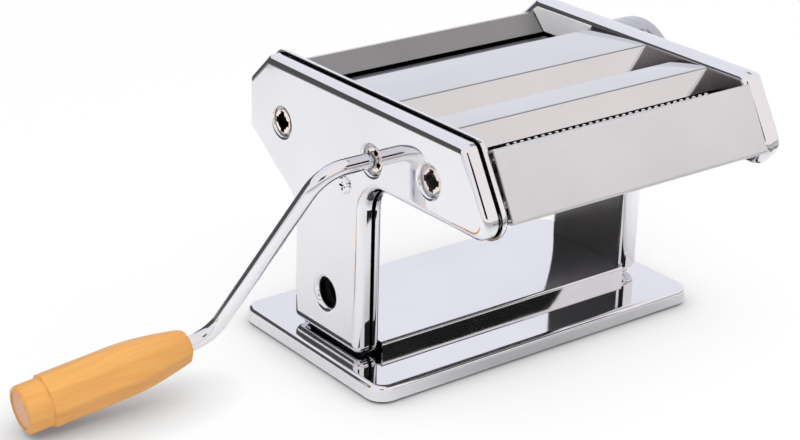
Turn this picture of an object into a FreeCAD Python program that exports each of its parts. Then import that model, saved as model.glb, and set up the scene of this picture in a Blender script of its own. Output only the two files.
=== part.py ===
import FreeCAD, Part
import math
import os
import re
import Sketcher

# A hand-cranked pasta machine: a stand with two side walls, a pair of smooth sheet rollers
# with a gap adjuster, a wide cutter, a thin cutter, and a crank in the middle socket.
# X runs along the rollers with the crank on the -X side, -Y is the front, Z is up,
# and the origin is the middle of the stand on the table. All sizes are in millimetres.

SIZES = [
    # Side walls, from the inside outwards
    ("inner_half", 77.0, "half the clear width between the inner shells"),
    ("sheet", 1.0, "thickness of the pressed sheet"),
    ("shell_depth", 5.0, "depth of the inner shell"),
    ("plate_thick", 1.3, "thickness of the frame plate between the shells"),
    ("cover_depth", 6.7, "depth of the outer cover"),
    ("rim_step", 1.3, "how far the inner shell stands outside the cover all round"),
    ("plate_inset", 1.2, "how far the frame plate stays inside the cover outline"),
    ("rim_radius", 4.2, "rounding of the cover's outer edge"),
    ("shell_bevel", 2.0, "bevel of the inner shell's edge"),
    # Side outline: Y of its corners, and Z as a drop below the top edge
    ("top_height", 138.0, "height of the level top edge"),
    ("front_top", -97.5, "front end of the top edge"),
    ("nose_front", -121.0, "foremost corner"),
    ("nose_drop", 40.0, "underside of the overhang, below the top edge"),
    ("leg_half", 26.5, "half the leg's width"),
    ("leg_foot", 10.4, "height of the cover's lower end"),
    ("knee_drop", 66.3, "where the slanted underside meets the leg's back edge, below the top edge"),
    ("back_depth", 65.0, "rear edge"),
    ("back_low_drop", 40.6, "lower end of the rear edge, below the top edge"),
    ("back_high_drop", 15.0, "upper end of the rear edge, below the top edge"),
    ("top_back", 49.0, "rear end of the top edge"),
    ("small_corner", 5.0, "rounding of the upper corners"),
    ("nose_corner", 9.0, "rounding of the foremost corner"),
    ("arch_corner", 15.0, "rounding where the legs meet the body"),
    # Stand
    ("base_length", 200.0, "stand along X"),
    ("base_width", 113.0, "stand along Y"),
    ("base_top", 9.0, "height of the stand's top"),
    ("base_skirt", 1.5, "height of the skirt's lower edge"),
    ("base_corner", 9.0, "rounding of the stand's corners in plan"),
    ("base_edge", 2.5, "rounding of the stand's top edge"),
    ("foot_radius", 9.0, "radius of a foot pad"),
    ("foot_inset_x", 11.0, "foot axis from the stand's end"),
    ("foot_inset_y", 11.0, "foot axis from the stand's side"),
    ("channel_top", 15.5, "height of the raised floor between the legs"),
    ("channel_half", 29.0, "half the width of the raised floor"),
    ("flange_reach", 14.0, "length of the frame plate's foot flange"),
    ("flange_half", 22.0, "half the width of the foot flange"),
    ("flange_play", 0.3, "foot flange in the inner shell's notch"),
    ("base_screw_y", 14.0, "base screws either side of the middle"),
    ("base_screw_in", 9.0, "base screws in from the frame plate"),
    ("screw_radius", 1.6, "shank radius of the small screws"),
    ("screw_head", 3.2, "head radius of the base screws"),
    ("base_screw_head", 2.0, "head height of the base screws"),
    ("base_screw_tip", 1.3, "base screw beyond the foot flange"),
    # Tie rods
    ("tie_radius", 3.5, "radius of a tie rod"),
    ("tie_mid_y", -14.7, "middle tie rod"),
    ("tie_mid_drop", 44.7, "middle tie rod, below the top edge"),
    ("tie_back_y", 58.5, "rear tie rod"),
    ("tie_back_drop", 34.0, "rear tie rod, below the top edge"),
    ("tie_front_y", -107.5, "front tie rod"),
    ("tie_front_drop", 32.0, "front tie rod, below the top edge"),
    ("tie_screw_head", 4.2, "head radius of the tie-rod screws"),
    ("tie_screw_deep", 9.0, "length of the screw hole in a tie rod"),
    ("screw_bottom", 1.0, "room behind a screw's tip"),
    ("head_height", 1.5, "height of a pan head"),
    ("head_bevel", 0.9, "bevel of a pan head"),
    ("driver_depth", 0.9, "depth of the cross slot in a pan head"),
    ("driver_reach", 2.3, "half length of the cross slot"),
    ("driver_half", 0.6, "half width of the cross slot"),
    # Clamp hole and socket holes
    ("clamp_y", 0.0, "clamp hole in the left leg"),
    ("clamp_z", 33.3, "clamp hole in the left leg"),
    ("hole_radius", 7.3, "inside of a rolled hole"),
    ("hole_collar", 1.9, "depth of the rolled collar"),
    ("hole_roll", 0.9, "bevel of the rolled edge"),
    # Sheet rollers
    ("roller_half", 75.0, "half the rollers' working length"),
    ("sheeter_y", 36.4, "driven sheet roller"),
    ("sheeter_drop", 29.8, "driven sheet roller, below the top edge"),
    ("sheeter_radius", 14.0, "sheet roller radius"),
    ("sheeter_gap", 2.5, "widest gap between the sheet rollers"),
    # Cutters
    ("wide_y", -34.0, "driven wide cutter roller"),
    ("wide_drop", 26.6, "driven wide cutter roller, below the top edge"),
    ("thin_y", -75.2, "driven thin cutter roller"),
    ("thin_drop", 23.0, "driven thin cutter roller, below the top edge"),
    ("cutter_radius", 10.0, "radius over the cutting discs"),
    ("core_radius", 8.2, "radius of the core between the discs"),
    ("cutter_centres", 18.8, "distance between a cutter pair's axes"),
    ("wide_pitch", 13.0, "disc pitch of the wide cutter, two strips"),
    ("wide_discs", 11, "discs on the driven wide roller"),
    ("thin_pitch", 4.0, "disc pitch of the thin cutter, two strips"),
    ("thin_discs", 37, "discs on the driven thin roller"),
    ("disc_play", 0.3, "axial gap between neighbouring discs"),
    ("wide_sides", 12, "flats round a wide disc"),
    ("thin_sides", 10, "flats round a thin disc"),
    ("comb_low", 16.5, "lower edge of a comb below the cutter axes"),
    ("comb_thick", 0.8, "thickness of a stripper comb"),
    ("comb_offset", 2.6, "comb from the plane of the nip"),
    ("comb_play", 0.45, "finger to disc, each side"),
    ("comb_rise", 0.6, "finger end to core"),
    # Shafts, sockets, gears and bushes
    ("drive_shaft", 6.0, "journal radius at the socket end"),
    ("plain_shaft", 4.6, "journal radius elsewhere"),
    ("run_play", 0.06, "running clearance of a journal"),
    ("shaft_hole_play", 0.8, "clearance of a journal through a shell"),
    ("bush_wall", 1.8, "wall of a bush"),
    ("bush_flange", 1.6, "thickness of a bush flange"),
    ("flange_extra", 1.7, "bush flange beyond its sleeve"),
    ("gear_thick", 3.6, "gear width"),
    ("gear_gap", 0.7, "gear to frame plate"),
    ("socket_flush", 0.5, "rear socket behind the cover's face"),
    ("socket_deep", 1.5, "middle and front sockets behind the cover's face"),
    ("key_depth", 5.4, "length of the socket's cross slots"),
    ("bore_depth", 13.4, "length of the socket's round bore"),
    ("key_width", 2.9, "width of a cross slot"),
    ("key_reach", 5.2, "half length of a cross slot"),
    ("gear_teeth", 12, "teeth on every gear"),
    ("sheeter_tip", 16.6, "tip radius of the long-toothed sheet gears"),
    ("sheeter_root", 11.3, "root radius of the long-toothed sheet gears"),
    ("cutter_tip", 10.8, "tip radius of the cutter gears"),
    ("cutter_root", 7.6, "root radius of the cutter gears"),
    ("tooth_share", 0.92, "tooth width at the root as a share of half a pitch"),
    ("tip_share", 0.38, "tooth width at the tip as a share of half a pitch"),
    ("tooth_sink", 1.0, "how deep a tooth starts inside the root circle"),
    ("gear_collar", 0.6, "idle shaft beyond its gear"),
    ("journal_stub", 1.0, "plain journal beyond the frame plate"),
    ("bush_stub", 0.4, "bush beyond the frame plate"),
    # Gap adjuster
    ("throw", 1.1, "offset of the eccentric"),
    ("eccentric_radius", 7.0, "radius of the eccentric"),
    ("eccentric_thick", 3.3, "width of the eccentric"),
    ("eccentric_gap", 0.6, "eccentric to frame plate"),
    ("bore_wall", 0.6, "wall between the window and the journal's bore"),
    ("window_play", 0.35, "eccentric to window, each side"),
    ("block_half", 12.0, "half the block's neck"),
    ("block_flange", 2.0, "block flange beyond its neck"),
    ("block_low", 23.7, "block flange below the roller axis"),
    ("block_play", 0.08, "block in the frame plate's window"),
    ("block_gap", 0.3, "block to shell and frame plate"),
    ("bar_below", 19.2, "carriage bar below the roller axis"),
    ("bar_radius", 3.0, "carriage bar radius"),
    ("slot_play", 0.5, "play at the ends of the sliding slots"),
    ("dial_shaft", 4.0, "dial shaft radius"),
    ("dial_square", 5.6, "square of the dial shaft's outer end"),
    ("square_play", 0.15, "knob on the square, each side"),
    ("knob_radius", 25.5, "knob radius"),
    ("knob_start", 3.6, "knob's inner rim from the cover's face"),
    ("knob_length", 22.0, "knob length"),
    ("knob_wall", 4.5, "knob rim thickness"),
    ("knob_web", 3.5, "knob web thickness"),
    ("knob_web_at", 6.0, "inner face of the web from the knob's inner rim"),
    ("knob_round", 4.0, "rounding of the knob's outer edge"),
    ("spring_pocket", 7.5, "radius of the pocket around the spring"),
    ("spring_outer", 6.8, "outer radius of the spring"),
    ("spring_inner", 5.2, "inner radius of the spring"),
    ("spring_gap", 0.3, "spring to its seats"),
    ("spring_length", 7.5, "length of the spring at rest"),
    ("hub_radius", 8.5, "radius of the knob's hub"),
    ("hub_start", 2.0, "hub behind the knob's inner rim"),
    ("dial_head", 6.9, "radius of the dial screw's wide head"),
    ("dial_head_thick", 1.8, "thickness of the dial screw's head"),
    ("dial_screw_deep", 8.0, "screw hole in the dial shaft"),
    ("dial_flange", 1.3, "thickness of the dial bush's flange"),
    ("dial_bush_out", 2.0, "dial bush beyond the cover's face"),
    ("dial_shaft_out", 2.5, "round dial shaft beyond the cover's face"),
    ("cap_thick", 1.4, "thickness of the knob's cap"),
    ("ring_thick", 2.2, "thickness of the index ring"),
    ("ring_inner", 9.6, "inner radius of the index ring"),
    ("ring_outer", 16.8, "outer radius of the index ring"),
    ("track_radius", 13.2, "radius of the pin's track"),
    ("pin_radius", 1.4, "index pin radius"),
    ("track_play", 0.4, "pin to track, all round"),
    ("track_floor", 1.2, "track floor above the cover's face"),
    ("index_depth", 0.8, "index pockets below the track floor"),
    ("index_sides", 6, "flats round an index pocket"),
    ("pin_seat", 4.0, "index pin inside the knob"),
    ("index_count", 12, "places round the index ring"),
    # Top plates: Y of their bends, and Z as a drop below the top edge
    ("hopper_top_y", 49.1, "upper edge of the hopper plate"),
    ("hopper_top_drop", 6.4, "upper edge of the hopper plate, below the top edge"),
    ("hopper_low_y", 40.8, "lower edge of the hopper plate"),
    ("hopper_low_drop", 14.8, "lower edge of the hopper plate, below the top edge"),
    ("rear_y", 63.4, "outer face of the rear panel"),
    ("rear_bend_drop", 18.6, "upper bend of the rear panel, below the top edge"),
    ("rear_low_drop", 40.5, "lower bend of the rear panel, below the top edge"),
    ("rear_lip", 8.0, "lip under the rear panel"),
    ("crest_drop", 2.0, "crest of the two top covers, below the top edge"),
    ("first_back_y", 4.6, "rear edge of the first cover"),
    ("first_crest_y", -32.9, "crest of the first cover"),
    ("second_back_y", -55.8, "rear edge of the second cover"),
    ("second_crest_y", -74.3, "crest of the second cover"),
    ("cover_fall", 1.6, "fall from crest to rear edge"),
    ("guide_run", 5.6, "run of a slanted guide"),
    ("guide_low_drop", 11.8, "lower edge of the slanted guides, below the top edge"),
    ("back_guide_run", 7.0, "run of the guides behind the covers"),
    ("front_top_y", -101.3, "upper edge of the front panel"),
    ("front_top_drop", 2.4, "upper edge of the front panel, below the top edge"),
    ("front_low_y", -117.4, "lower edge of the front panel"),
    ("front_low_drop", 32.2, "lower edge of the front panel, below the top edge"),
    ("front_lip", 5.0, "lip under the front panel"),
    ("front_guide_y", -89.6, "lower edge of the front guide"),
    ("bend_radius", 1.4, "outer radius of a bend"),
    ("panel_gap", 1.6, "rear panel's upper edge behind the hopper plate"),
    ("lip_fall", 0.8, "fall of the lip under the front panel"),
    ("scraper_inset", 1.5, "scraper from the rear panel's inner face"),
    ("scraper_gap", 0.5, "scraper edge to roller"),
    ("scraper_angle", 52.0, "scraper edge below the roller's middle, in degrees"),
    # Crank
    ("rod_radius", 3.75, "crank rod radius"),
    ("socket_play", 0.2, "rod in the socket bore"),
    ("rod_inside", 13.2, "rod inside the socket, from the cover's face"),
    ("rod_corner", 26.1, "first corner from the cover's face"),
    ("arm_lean", 34.4, "how far the arm leans outwards"),
    ("arm_throw", 94.0, "second corner from the crank's axis"),
    ("crank_turn", 24.6, "arm from straight down, towards the back, in degrees"),
    ("grip_droop", 8.6, "grip from the crank's axis, in degrees"),
    ("rod_bend", 17.0, "bend radius of the rod's axis"),
    ("grip_start", 12.0, "grip from the second corner"),
    ("grip_length", 83.0, "grip length"),
    ("grip_play", 0.1, "grip bore to rod"),
    ("grip_flats", 8, "flats round the grip"),
    ("grip_small", 7.3, "grip from its axis to a flat at the rod end"),
    ("grip_flat", 11.8, "grip from its axis to a flat at its fullest"),
    ("grip_full", 36.0, "where the grip is fullest, from its start"),
    ("grip_cap", 11.8, "radius of the turned cap"),
    ("cap_length", 11.5, "length of the turned cap"),
    ("grip_recess", 8.6, "radius of the recess in the cap"),
    ("recess_depth", 6.0, "depth of the recess in the cap"),
    ("plug_sunk", 0.6, "plug below the cap's end"),
    ("washer_radius", 6.8, "retaining washer radius"),
    ("washer_thick", 1.2, "retaining washer thickness"),
    ("washer_gap", 0.2, "washer to the recess floor"),
    ("plug_thick", 2.0, "thickness of the end plug"),
    ("pin_wire", 1.2, "cross pin radius"),
    ("pin_half", 4.8, "half the cross pin's length"),
    ("pin_back", 5.5, "cross pin from the cover's face"),
]

doc = FreeCAD.newDocument("pasta_roller_machine")
sheet = doc.addObject("Spreadsheet::Sheet", "Sizes")
for row, (alias, size, meaning) in enumerate(SIZES, start=1):
    sheet.set(f"A{row}", meaning)
    sheet.set(f"B{row}", str(size))
    sheet.setAlias(f"B{row}", alias)

# What hangs from the top edge is given by its drop, and the sheet works out its height
DROPS = [alias for alias, size, meaning in SIZES if alias.endswith("_drop")]
HEIGHTS = [alias.replace("_drop", "_z") for alias in DROPS]
for row, (drop, height) in enumerate(zip(DROPS, HEIGHTS), start=len(SIZES) + 1):
    sheet.set(f"A{row}", f"height set by {drop}")
    sheet.set(f"B{row}", f"=top_height - {drop}")
    sheet.setAlias(f"B{row}", height)
doc.recompute()
ALIASES = {alias for alias, size, meaning in SIZES} | set(HEIGHTS)


def cell(text):
    """An expression written in bare size names, with each name pointed at the sheet."""
    return re.sub(r"[a-z_]+", lambda m: "Sizes." + m[0] if m[0] in ALIASES else m[0], str(text))


def number(text):
    """The value of such an expression now."""
    return float(sheet.evalExpression(cell(text)))


def vector(*texts):
    return FreeCAD.Vector(*[number(text) for text in texts])


# Bodies, sketches and features


def new_body(label, x="0", y="0", z="0", turn="0", tilt="0"):
    """An empty body placed at x, y, z, tilted about its own Y and then turned about X."""
    body = doc.addObject("PartDesign::Body", label)
    body.Label = label
    about_x = FreeCAD.Rotation(FreeCAD.Vector(1, 0, 0), number(turn))
    about_y = FreeCAD.Rotation(FreeCAD.Vector(0, 1, 0), number(tilt))
    body.Placement = FreeCAD.Placement(FreeCAD.Vector(), about_x * about_y)
    for axis, text in zip("xyz", (x, y, z)):
        body.setExpression(f"Placement.Base.{axis}", cell(text))
    return body


def origin_part(body, role):
    return next(part for part in body.Origin.OriginFeatures if part.Role == role)


def new_sketch(body, plane, offset="0"):
    """A sketch on one of the body's own planes, moved along the plane's normal."""
    sketch = body.newObject("Sketcher::SketchObject", body.Label + "_sketch")
    sketch.AttachmentSupport = (origin_part(body, plane), "")
    sketch.MapMode = "FlatFace"
    sketch.setExpression("AttachmentOffset.Base.z", cell(offset))
    return sketch


def hold_point(sketch, geometry, end, x, y):
    """Tie one point of a sketch to two expressions, or to an axis where an expression is zero."""
    for kind, axis, text in (("DistanceX", -2, x), ("DistanceY", -1, y)):
        if abs(number(text)) < 1e-9:
            sketch.addConstraint(Sketcher.Constraint("PointOnObject", geometry, end, axis))
        else:
            index = sketch.addConstraint(Sketcher.Constraint(kind, geometry, end, number(text)))
            sketch.setExpression(f"Constraints[{index}]", cell(text))


def outline(sketch, corners):
    """A closed outline of straight lines through corners given as pairs of expressions."""
    points = [vector(x, y, "0") for x, y in corners]
    first = sketch.GeometryCount
    count = len(points)
    for k in range(count):
        sketch.addGeometry(Part.LineSegment(points[k], points[(k + 1) % count]), False)
    for k in range(count):
        sketch.addConstraint(Sketcher.Constraint("Coincident", first + k, 2, first + (k + 1) % count, 1))
        hold_point(sketch, first + k, 1, *corners[k])
    return sketch


def rectangle(sketch, x0, x1, y0, y1):
    return outline(sketch, [(x0, y0), (x1, y0), (x1, y1), (x0, y1)])


def cross(sketch, reach, half):
    """An upright cross about the sketch's middle: four arms of the given reach and half width."""
    quarter = [(half, half), (reach, half), (reach, f"-({half})")]
    corners = []
    for turn in range(4):
        corners += quarter
        quarter = [(y, f"-({x})") for x, y in quarter]
    return outline(sketch, corners)


def regular(sketch, sides, radius, x="0", y="0"):
    """A regular polygon about x, y, its corners on the given radius."""
    angles = [f"{360 * k} / {sides}" for k in range(int(number(sides)))]
    corners = [(f"{x} + ({radius}) * cos({a})", f"{y} + ({radius}) * sin({a})") for a in angles]
    return outline(sketch, corners)


def circle(sketch, x, y, radius):
    ring = Part.Circle(vector(x, y, "0"), FreeCAD.Vector(0, 0, 1), number(radius))
    index = sketch.addGeometry(ring, False)
    hold_point(sketch, index, 3, x, y)
    bound = sketch.addConstraint(Sketcher.Constraint("Radius", index, number(radius)))
    sketch.setExpression(f"Constraints[{bound}]", cell(radius))
    return sketch


def obround(sketch, x, y, reach, radius):
    """A level slot of the given radius, its end centres at x and x + reach."""
    first = sketch.GeometryCount
    near, far = vector(x, y, "0"), vector(f"{x} + {reach}", y, "0")
    up = FreeCAD.Vector(0, number(radius), 0)
    flat = FreeCAD.Vector(0, 0, 1)
    size = number(radius)
    sketch.addGeometry(Part.ArcOfCircle(Part.Circle(near, flat, size), math.pi / 2, 1.5 * math.pi), False)
    sketch.addGeometry(Part.LineSegment(near - up, far - up), False)
    sketch.addGeometry(Part.ArcOfCircle(Part.Circle(far, flat, size), -math.pi / 2, math.pi / 2), False)
    sketch.addGeometry(Part.LineSegment(far + up, near + up), False)
    for k in range(4):
        sketch.addConstraint(Sketcher.Constraint("Coincident", first + k, 2, first + (k + 1) % 4, 1))
    for arc, centre in ((first, x), (first + 2, f"{x} + {reach}")):
        hold_point(sketch, arc, 3, centre, y)
        bound = sketch.addConstraint(Sketcher.Constraint("Radius", arc, size))
        sketch.setExpression(f"Constraints[{bound}]", cell(radius))
        for end in (1, 2):
            sketch.addConstraint(Sketcher.Constraint("Vertical", arc, end, arc, 3))
    return sketch


def pad(body, sketch, length, back=False, both=False):
    made = body.newObject("PartDesign::Pad", body.Label + "_pad")
    made.Profile = sketch
    made.setExpression("Length", cell(length))
    made.Reversed = back
    made.Midplane = both
    doc.recompute()
    return made


def pocket(body, sketch, length="", back=False, both=False):
    """Cut a sketch out of the body: through everything, or to a depth."""
    before = body.Shape.Volume
    made = body.newObject("PartDesign::Pocket", body.Label + "_pocket")
    made.Profile = sketch
    made.Reversed = back
    made.Midplane = both
    if length:
        made.setExpression("Length", cell(length))
    else:
        made.Type = "ThroughAll"
    doc.recompute()
    if body.Shape.Volume > before - 1e-6:
        raise ValueError(f"a cut in {body.Label} removes nothing")
    return made


def revolve(body, corners):
    """A turned piece about the local X axis, from its half section in X and radius."""
    sketch = outline(new_sketch(body, "XY_Plane"), corners)
    made = body.newObject("PartDesign::Revolution", body.Label + "_turned")
    made.Profile = sketch
    made.ReferenceAxis = (sketch, ["H_Axis"])
    made.Angle = 360
    doc.recompute()
    return made


def repeat(body, made, count, step):
    """Copies of a feature along X."""
    rows = body.newObject("PartDesign::LinearPattern", body.Label + "_row")
    rows.Originals = [made]
    rows.Direction = (origin_part(body, "X_Axis"), [""])
    rows.setExpression("Length", cell(f"({step}) * (({count}) - 1)"))
    rows.setExpression("Occurrences", cell(count))
    body.Tip = rows
    doc.recompute()
    return rows


def spin(body, made, count):
    """Copies of a feature round the local X axis."""
    ring = body.newObject("PartDesign::PolarPattern", body.Label + "_ring")
    ring.Originals = [made]
    ring.Axis = (origin_part(body, "X_Axis"), [""])
    ring.Angle = 360
    ring.setExpression("Occurrences", cell(count))
    body.Tip = ring
    doc.recompute()
    return ring


def round_edges(body, wanted, radius):
    """Fillet the edges of the body so far for which wanted(edge) holds."""
    base = body.Tip
    names = [f"Edge{k}" for k, edge in enumerate(base.Shape.Edges, start=1) if wanted(edge)]
    made = body.newObject("PartDesign::Fillet", body.Label + "_round")
    made.Base = (base, names)
    made.setExpression("Radius", cell(radius))
    doc.recompute()
    return made


def bevel_edges(body, wanted, size):
    """Chamfer the edges of the body so far for which wanted(edge) holds."""
    base = body.Tip
    names = [f"Edge{k}" for k, edge in enumerate(base.Shape.Edges, start=1) if wanted(edge)]
    made = body.newObject("PartDesign::Chamfer", body.Label + "_bevel")
    made.Base = (base, names)
    made.setExpression("Size", cell(size))
    doc.recompute()
    return made


def hollow(body, wanted, wall):
    """Hollow the body so far, open at the faces for which wanted(face) holds."""
    base = body.Tip
    names = [f"Face{k}" for k, face in enumerate(base.Shape.Faces, start=1) if wanted(face)]
    made = body.newObject("PartDesign::Thickness", body.Label + "_hollow")
    made.Base = (base, names)
    made.setExpression("Value", cell(wall))
    made.Reversed = True
    doc.recompute()
    return made


def ends_at_x(edge, x):
    return all(abs(vertex.Point.x - x) < 1e-4 for vertex in edge.Vertexes)


def runs_along_x(edge):
    return edge.Curve.TypeId == "Part::GeomLine" and abs(edge.Curve.Direction.x) > 0.999


def runs_at(edge, places):
    """Whether an edge runs along X through one of the places, given as Y and Z."""
    point = edge.Vertexes[0].Point
    return runs_along_x(edge) and any(math.hypot(point.y - p.x, point.z - p.y) < 1e-4 for p in places)


def is_ring(edge, x, radius):
    """Whether an edge is the circle of that radius at x."""
    round_one = edge.Curve.TypeId == "Part::GeomCircle" and abs(edge.Curve.Radius - radius) < 1e-4
    return round_one and ends_at_x(edge, x)


def stands_upright(edge):
    return edge.Curve.TypeId == "Part::GeomLine" and abs(edge.Curve.Direction.z) > 0.999


def group(label, members):
    """Like pieces that share one name."""
    made = doc.addObject("Part::Compound", label)
    made.Label = label
    made.Links = members
    doc.recompute()
    return made


pieces = []


def keep(made):
    pieces.append(made)
    return made


# Places along X that the side walls share

plate_in = "(inner_half + shell_depth)"
plate_out = "(inner_half + shell_depth + plate_thick)"
cover_face = "(inner_half + shell_depth + plate_thick + cover_depth)"
LEFT, RIGHT = -1, 1
SIDE_NAMES = {LEFT: "left", RIGHT: "right"}

# Axes of the rollers
idle_y = "(sheeter_y - 2 * sheeter_radius - sheeter_gap)"
wide_idle_y = "(wide_y - cutter_centres)"
thin_idle_y = "(thin_y - cutter_centres)"
tie_rods_at = [("tie_mid_y", "tie_mid_z"), ("tie_back_y", "tie_back_z"), ("tie_front_y", "tie_front_z")]

# Corners of a side wall as Y, Z, how far each moves per millimetre of outward growth, and its rounding
SIDE_CORNERS = [
    ("front_top", "top_height", -0.57, 1.0, "small_corner"),
    ("top_back", "top_height", 0.41, 1.0, "small_corner"),
    ("back_depth", "back_high_z", 1.0, 0.41, "small_corner"),
    ("back_depth", "back_low_z", 1.0, -0.54, "small_corner"),
    ("leg_half", "knee_z", 1.0, -0.54, "arch_corner"),
    ("leg_half", "leg_foot", 1.0, -1.0, ""),
    ("-leg_half", "leg_foot", -1.0, -1.0, ""),
    ("-leg_half", "nose_z", -1.0, -1.0, "arch_corner"),
    ("nose_front", "nose_z", -1.75, -1.0, "nose_corner"),
]


def side_slab(body, side, growth, depth):
    """The outline of a side wall, grown outwards, as a slab with rounded corners."""
    corners = [(f"{y} + {gy} * ({growth})", f"{z} + {gz} * ({growth})") for y, z, gy, gz, r in SIDE_CORNERS]
    pad(body, outline(new_sketch(body, "YZ_Plane"), corners), depth, back=side == LEFT)
    for name in ("small_corner", "nose_corner", "arch_corner"):
        places = [vector(*at, "0") for at, row in zip(corners, SIDE_CORNERS) if row[4] == name]
        round_edges(body, lambda edge: runs_at(edge, places), name)


# Inner shells: pressed pans that face the rollers, with a hole for every shaft that passes


def inner_shell(side):
    body = new_body(f"{SIDE_NAMES[side]}_inner_shell", x=f"{side} * inner_half")
    side_slab(body, side, "rim_step", "shell_depth")
    open_x = side * number("shell_depth")
    hollow(body, lambda face: abs(face.CenterOfMass.x - open_x) < 1e-4, "sheet")
    bevel_edges(body, lambda edge: ends_at_x(edge, 0.0), "shell_bevel")
    holes = new_sketch(body, "YZ_Plane")
    drive = "drive_shaft" if side == LEFT else "plain_shaft"
    for y, z, journal in (
        ("sheeter_y", "sheeter_z", drive),
        ("wide_y", "wide_z", drive),
        (wide_idle_y, "wide_z", "plain_shaft"),
        ("thin_y", "thin_z", drive),
        (thin_idle_y, "thin_z", "plain_shaft"),
    ):
        circle(holes, y, z, f"{journal} + shaft_hole_play")
    for y, z in tie_rods_at:
        circle(holes, y, z, "tie_radius")
    notch = "(flange_half + flange_play)"
    below = "leg_foot - rim_step - sheet"
    rectangle(holes, f"-{notch}", notch, below, "base_top + plate_thick + flange_play")
    travel = "(2 * throw)"
    obround(holes, idle_y, "sheeter_z", travel, "(plain_shaft + shaft_hole_play)")
    obround(holes, idle_y, "(sheeter_z - bar_below)", travel, "(bar_radius + shaft_hole_play)")
    pocket(body, holes, both=True)
    return body


# Frame plates: the dark plates between the shells that carry every bearing, with a foot on the stand


def frame_plate(side):
    body = new_body(f"{SIDE_NAMES[side]}_frame_plate", x=f"{side} * {plate_in}")
    side_slab(body, side, "-plate_inset", "plate_thick")
    foot = new_sketch(body, "YZ_Plane")
    rectangle(foot, "-flange_half", "flange_half", "base_top", "leg_foot + plate_inset")
    pad(body, foot, "plate_thick", back=side == LEFT)
    flange = new_sketch(body, "YZ_Plane")
    rectangle(flange, "-flange_half", "flange_half", "base_top", "base_top + plate_thick")
    pad(body, flange, "flange_reach", back=side == RIGHT)
    screws = new_sketch(body, "XY_Plane")
    for sign in ("-", ""):
        circle(screws, f"{-side} * base_screw_in", f"{sign}base_screw_y", "screw_radius")
    pocket(body, screws, back=True)
    holes = new_sketch(body, "YZ_Plane")
    drive = "drive_shaft" if side == LEFT else "plain_shaft"
    for y, z, journal in (
        ("sheeter_y", "sheeter_z", drive),
        ("wide_y", "wide_z", drive),
        (wide_idle_y, "wide_z", "plain_shaft"),
        ("thin_y", "thin_z", drive),
        (thin_idle_y, "thin_z", "plain_shaft"),
    ):
        circle(holes, y, z, f"{journal} + run_play + bush_wall")
    for y, z in tie_rods_at:
        circle(holes, y, z, "screw_radius")
    if side == LEFT:
        circle(holes, "clamp_y", "clamp_z", "hole_radius")
    neck = "(block_half + block_play)"
    low, high = f"sheeter_z - {neck}", f"sheeter_z + {neck}"
    front = f"{idle_y} - block_half - slot_play"
    back = f"{idle_y} + block_half + 2 * throw + slot_play"
    rectangle(holes, front, back, low, high)
    pocket(body, holes, both=True)
    return body


# Outer covers: polished pans with rolled holes


def outer_cover(side):
    body = new_body(f"{SIDE_NAMES[side]}_cover", x=f"{side} * {plate_out}")
    side_slab(body, side, "0", "cover_depth")
    face_x = side * number("cover_depth")
    hollow(body, lambda face: abs(face.CenterOfMass.x) < 1e-4, "sheet")
    round_edges(body, lambda edge: ends_at_x(edge, face_x), "rim_radius")
    if side == LEFT:
        rolled = [(f"{name}_y", f"{name}_z") for name in ("sheeter", "wide", "thin", "clamp")]
        collars = new_sketch(body, "YZ_Plane", f"{side} * cover_depth")
        for y, z in rolled:
            circle(collars, y, z, "hole_radius + sheet")
        pad(body, collars, "hole_collar")
        holes = new_sketch(body, "YZ_Plane")
        for y, z in rolled:
            circle(holes, y, z, "hole_radius")
        circle(holes, "tie_mid_y", "tie_mid_z", "screw_radius")
        pocket(body, holes, both=True)
        mouth = number("hole_radius")
        bevel_edges(body, lambda edge: is_ring(edge, face_x, mouth), "hole_roll")
    else:
        holes = new_sketch(body, "YZ_Plane")
        circle(holes, f"{idle_y} + throw", "sheeter_z", "dial_shaft + run_play + bush_wall")
        circle(holes, "tie_mid_y", "tie_mid_z", "screw_radius")
        pocket(body, holes, both=True)
    return body


# Stand: a pressed pan on four pads, with a raised floor between the legs


def base_plate():
    body = new_body("base_plate")
    plan = new_sketch(body, "XY_Plane", "base_skirt")
    rectangle(plan, "-base_length / 2", "base_length / 2", "-base_width / 2", "base_width / 2")
    pad(body, plan, "base_top - base_skirt")
    round_edges(body, stands_upright, "base_corner")
    top, low = number("base_top"), number("base_skirt")
    hollow(body, lambda face: abs(face.CenterOfMass.z - low) < 1e-4, "sheet")
    round_edges(body, lambda edge: all(abs(v.Point.z - top) < 1e-4 for v in edge.Vertexes), "base_edge")
    screws = new_sketch(body, "XY_Plane")
    for sx in ("-", ""):
        for sy in ("-", ""):
            circle(screws, f"{sx}({plate_in} - base_screw_in)", f"{sy}base_screw_y", "screw_radius")
    pocket(body, screws, back=True)
    return body


def base_feet():
    feet = []
    for sx in (-1, 1):
        for sy in (-1, 1):
            x, y = f"{sx} * (base_length / 2 - foot_inset_x)", f"{sy} * (base_width / 2 - foot_inset_y)"
            foot = new_body(f"base_foot_{len(feet) + 1}", x, y)
            pad(foot, circle(new_sketch(foot, "XY_Plane"), "0", "0", "foot_radius"), "base_top - sheet")
            feet.append(foot)
    return group("base_feet", feet)


def base_screws():
    """Pan-head screws from below, through the stand into the frame plates' feet."""
    screws = []
    for sx in (-1, 1):
        for sy in (-1, 1):
            x, y = f"{sx} * ({plate_in} - base_screw_in)", f"{sy} * base_screw_y"
            screw = new_body(f"base_screw_{len(screws) + 1}", x, y, "base_top - sheet")
            head = circle(new_sketch(screw, "XY_Plane"), "0", "0", "screw_head")
            pad(screw, head, "base_screw_head", back=True)
            shank = circle(new_sketch(screw, "XY_Plane"), "0", "0", "screw_radius")
            pad(screw, shank, "sheet + plate_thick + base_screw_tip")
            screws.append(screw)
    return group("base_screws", screws)


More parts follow.
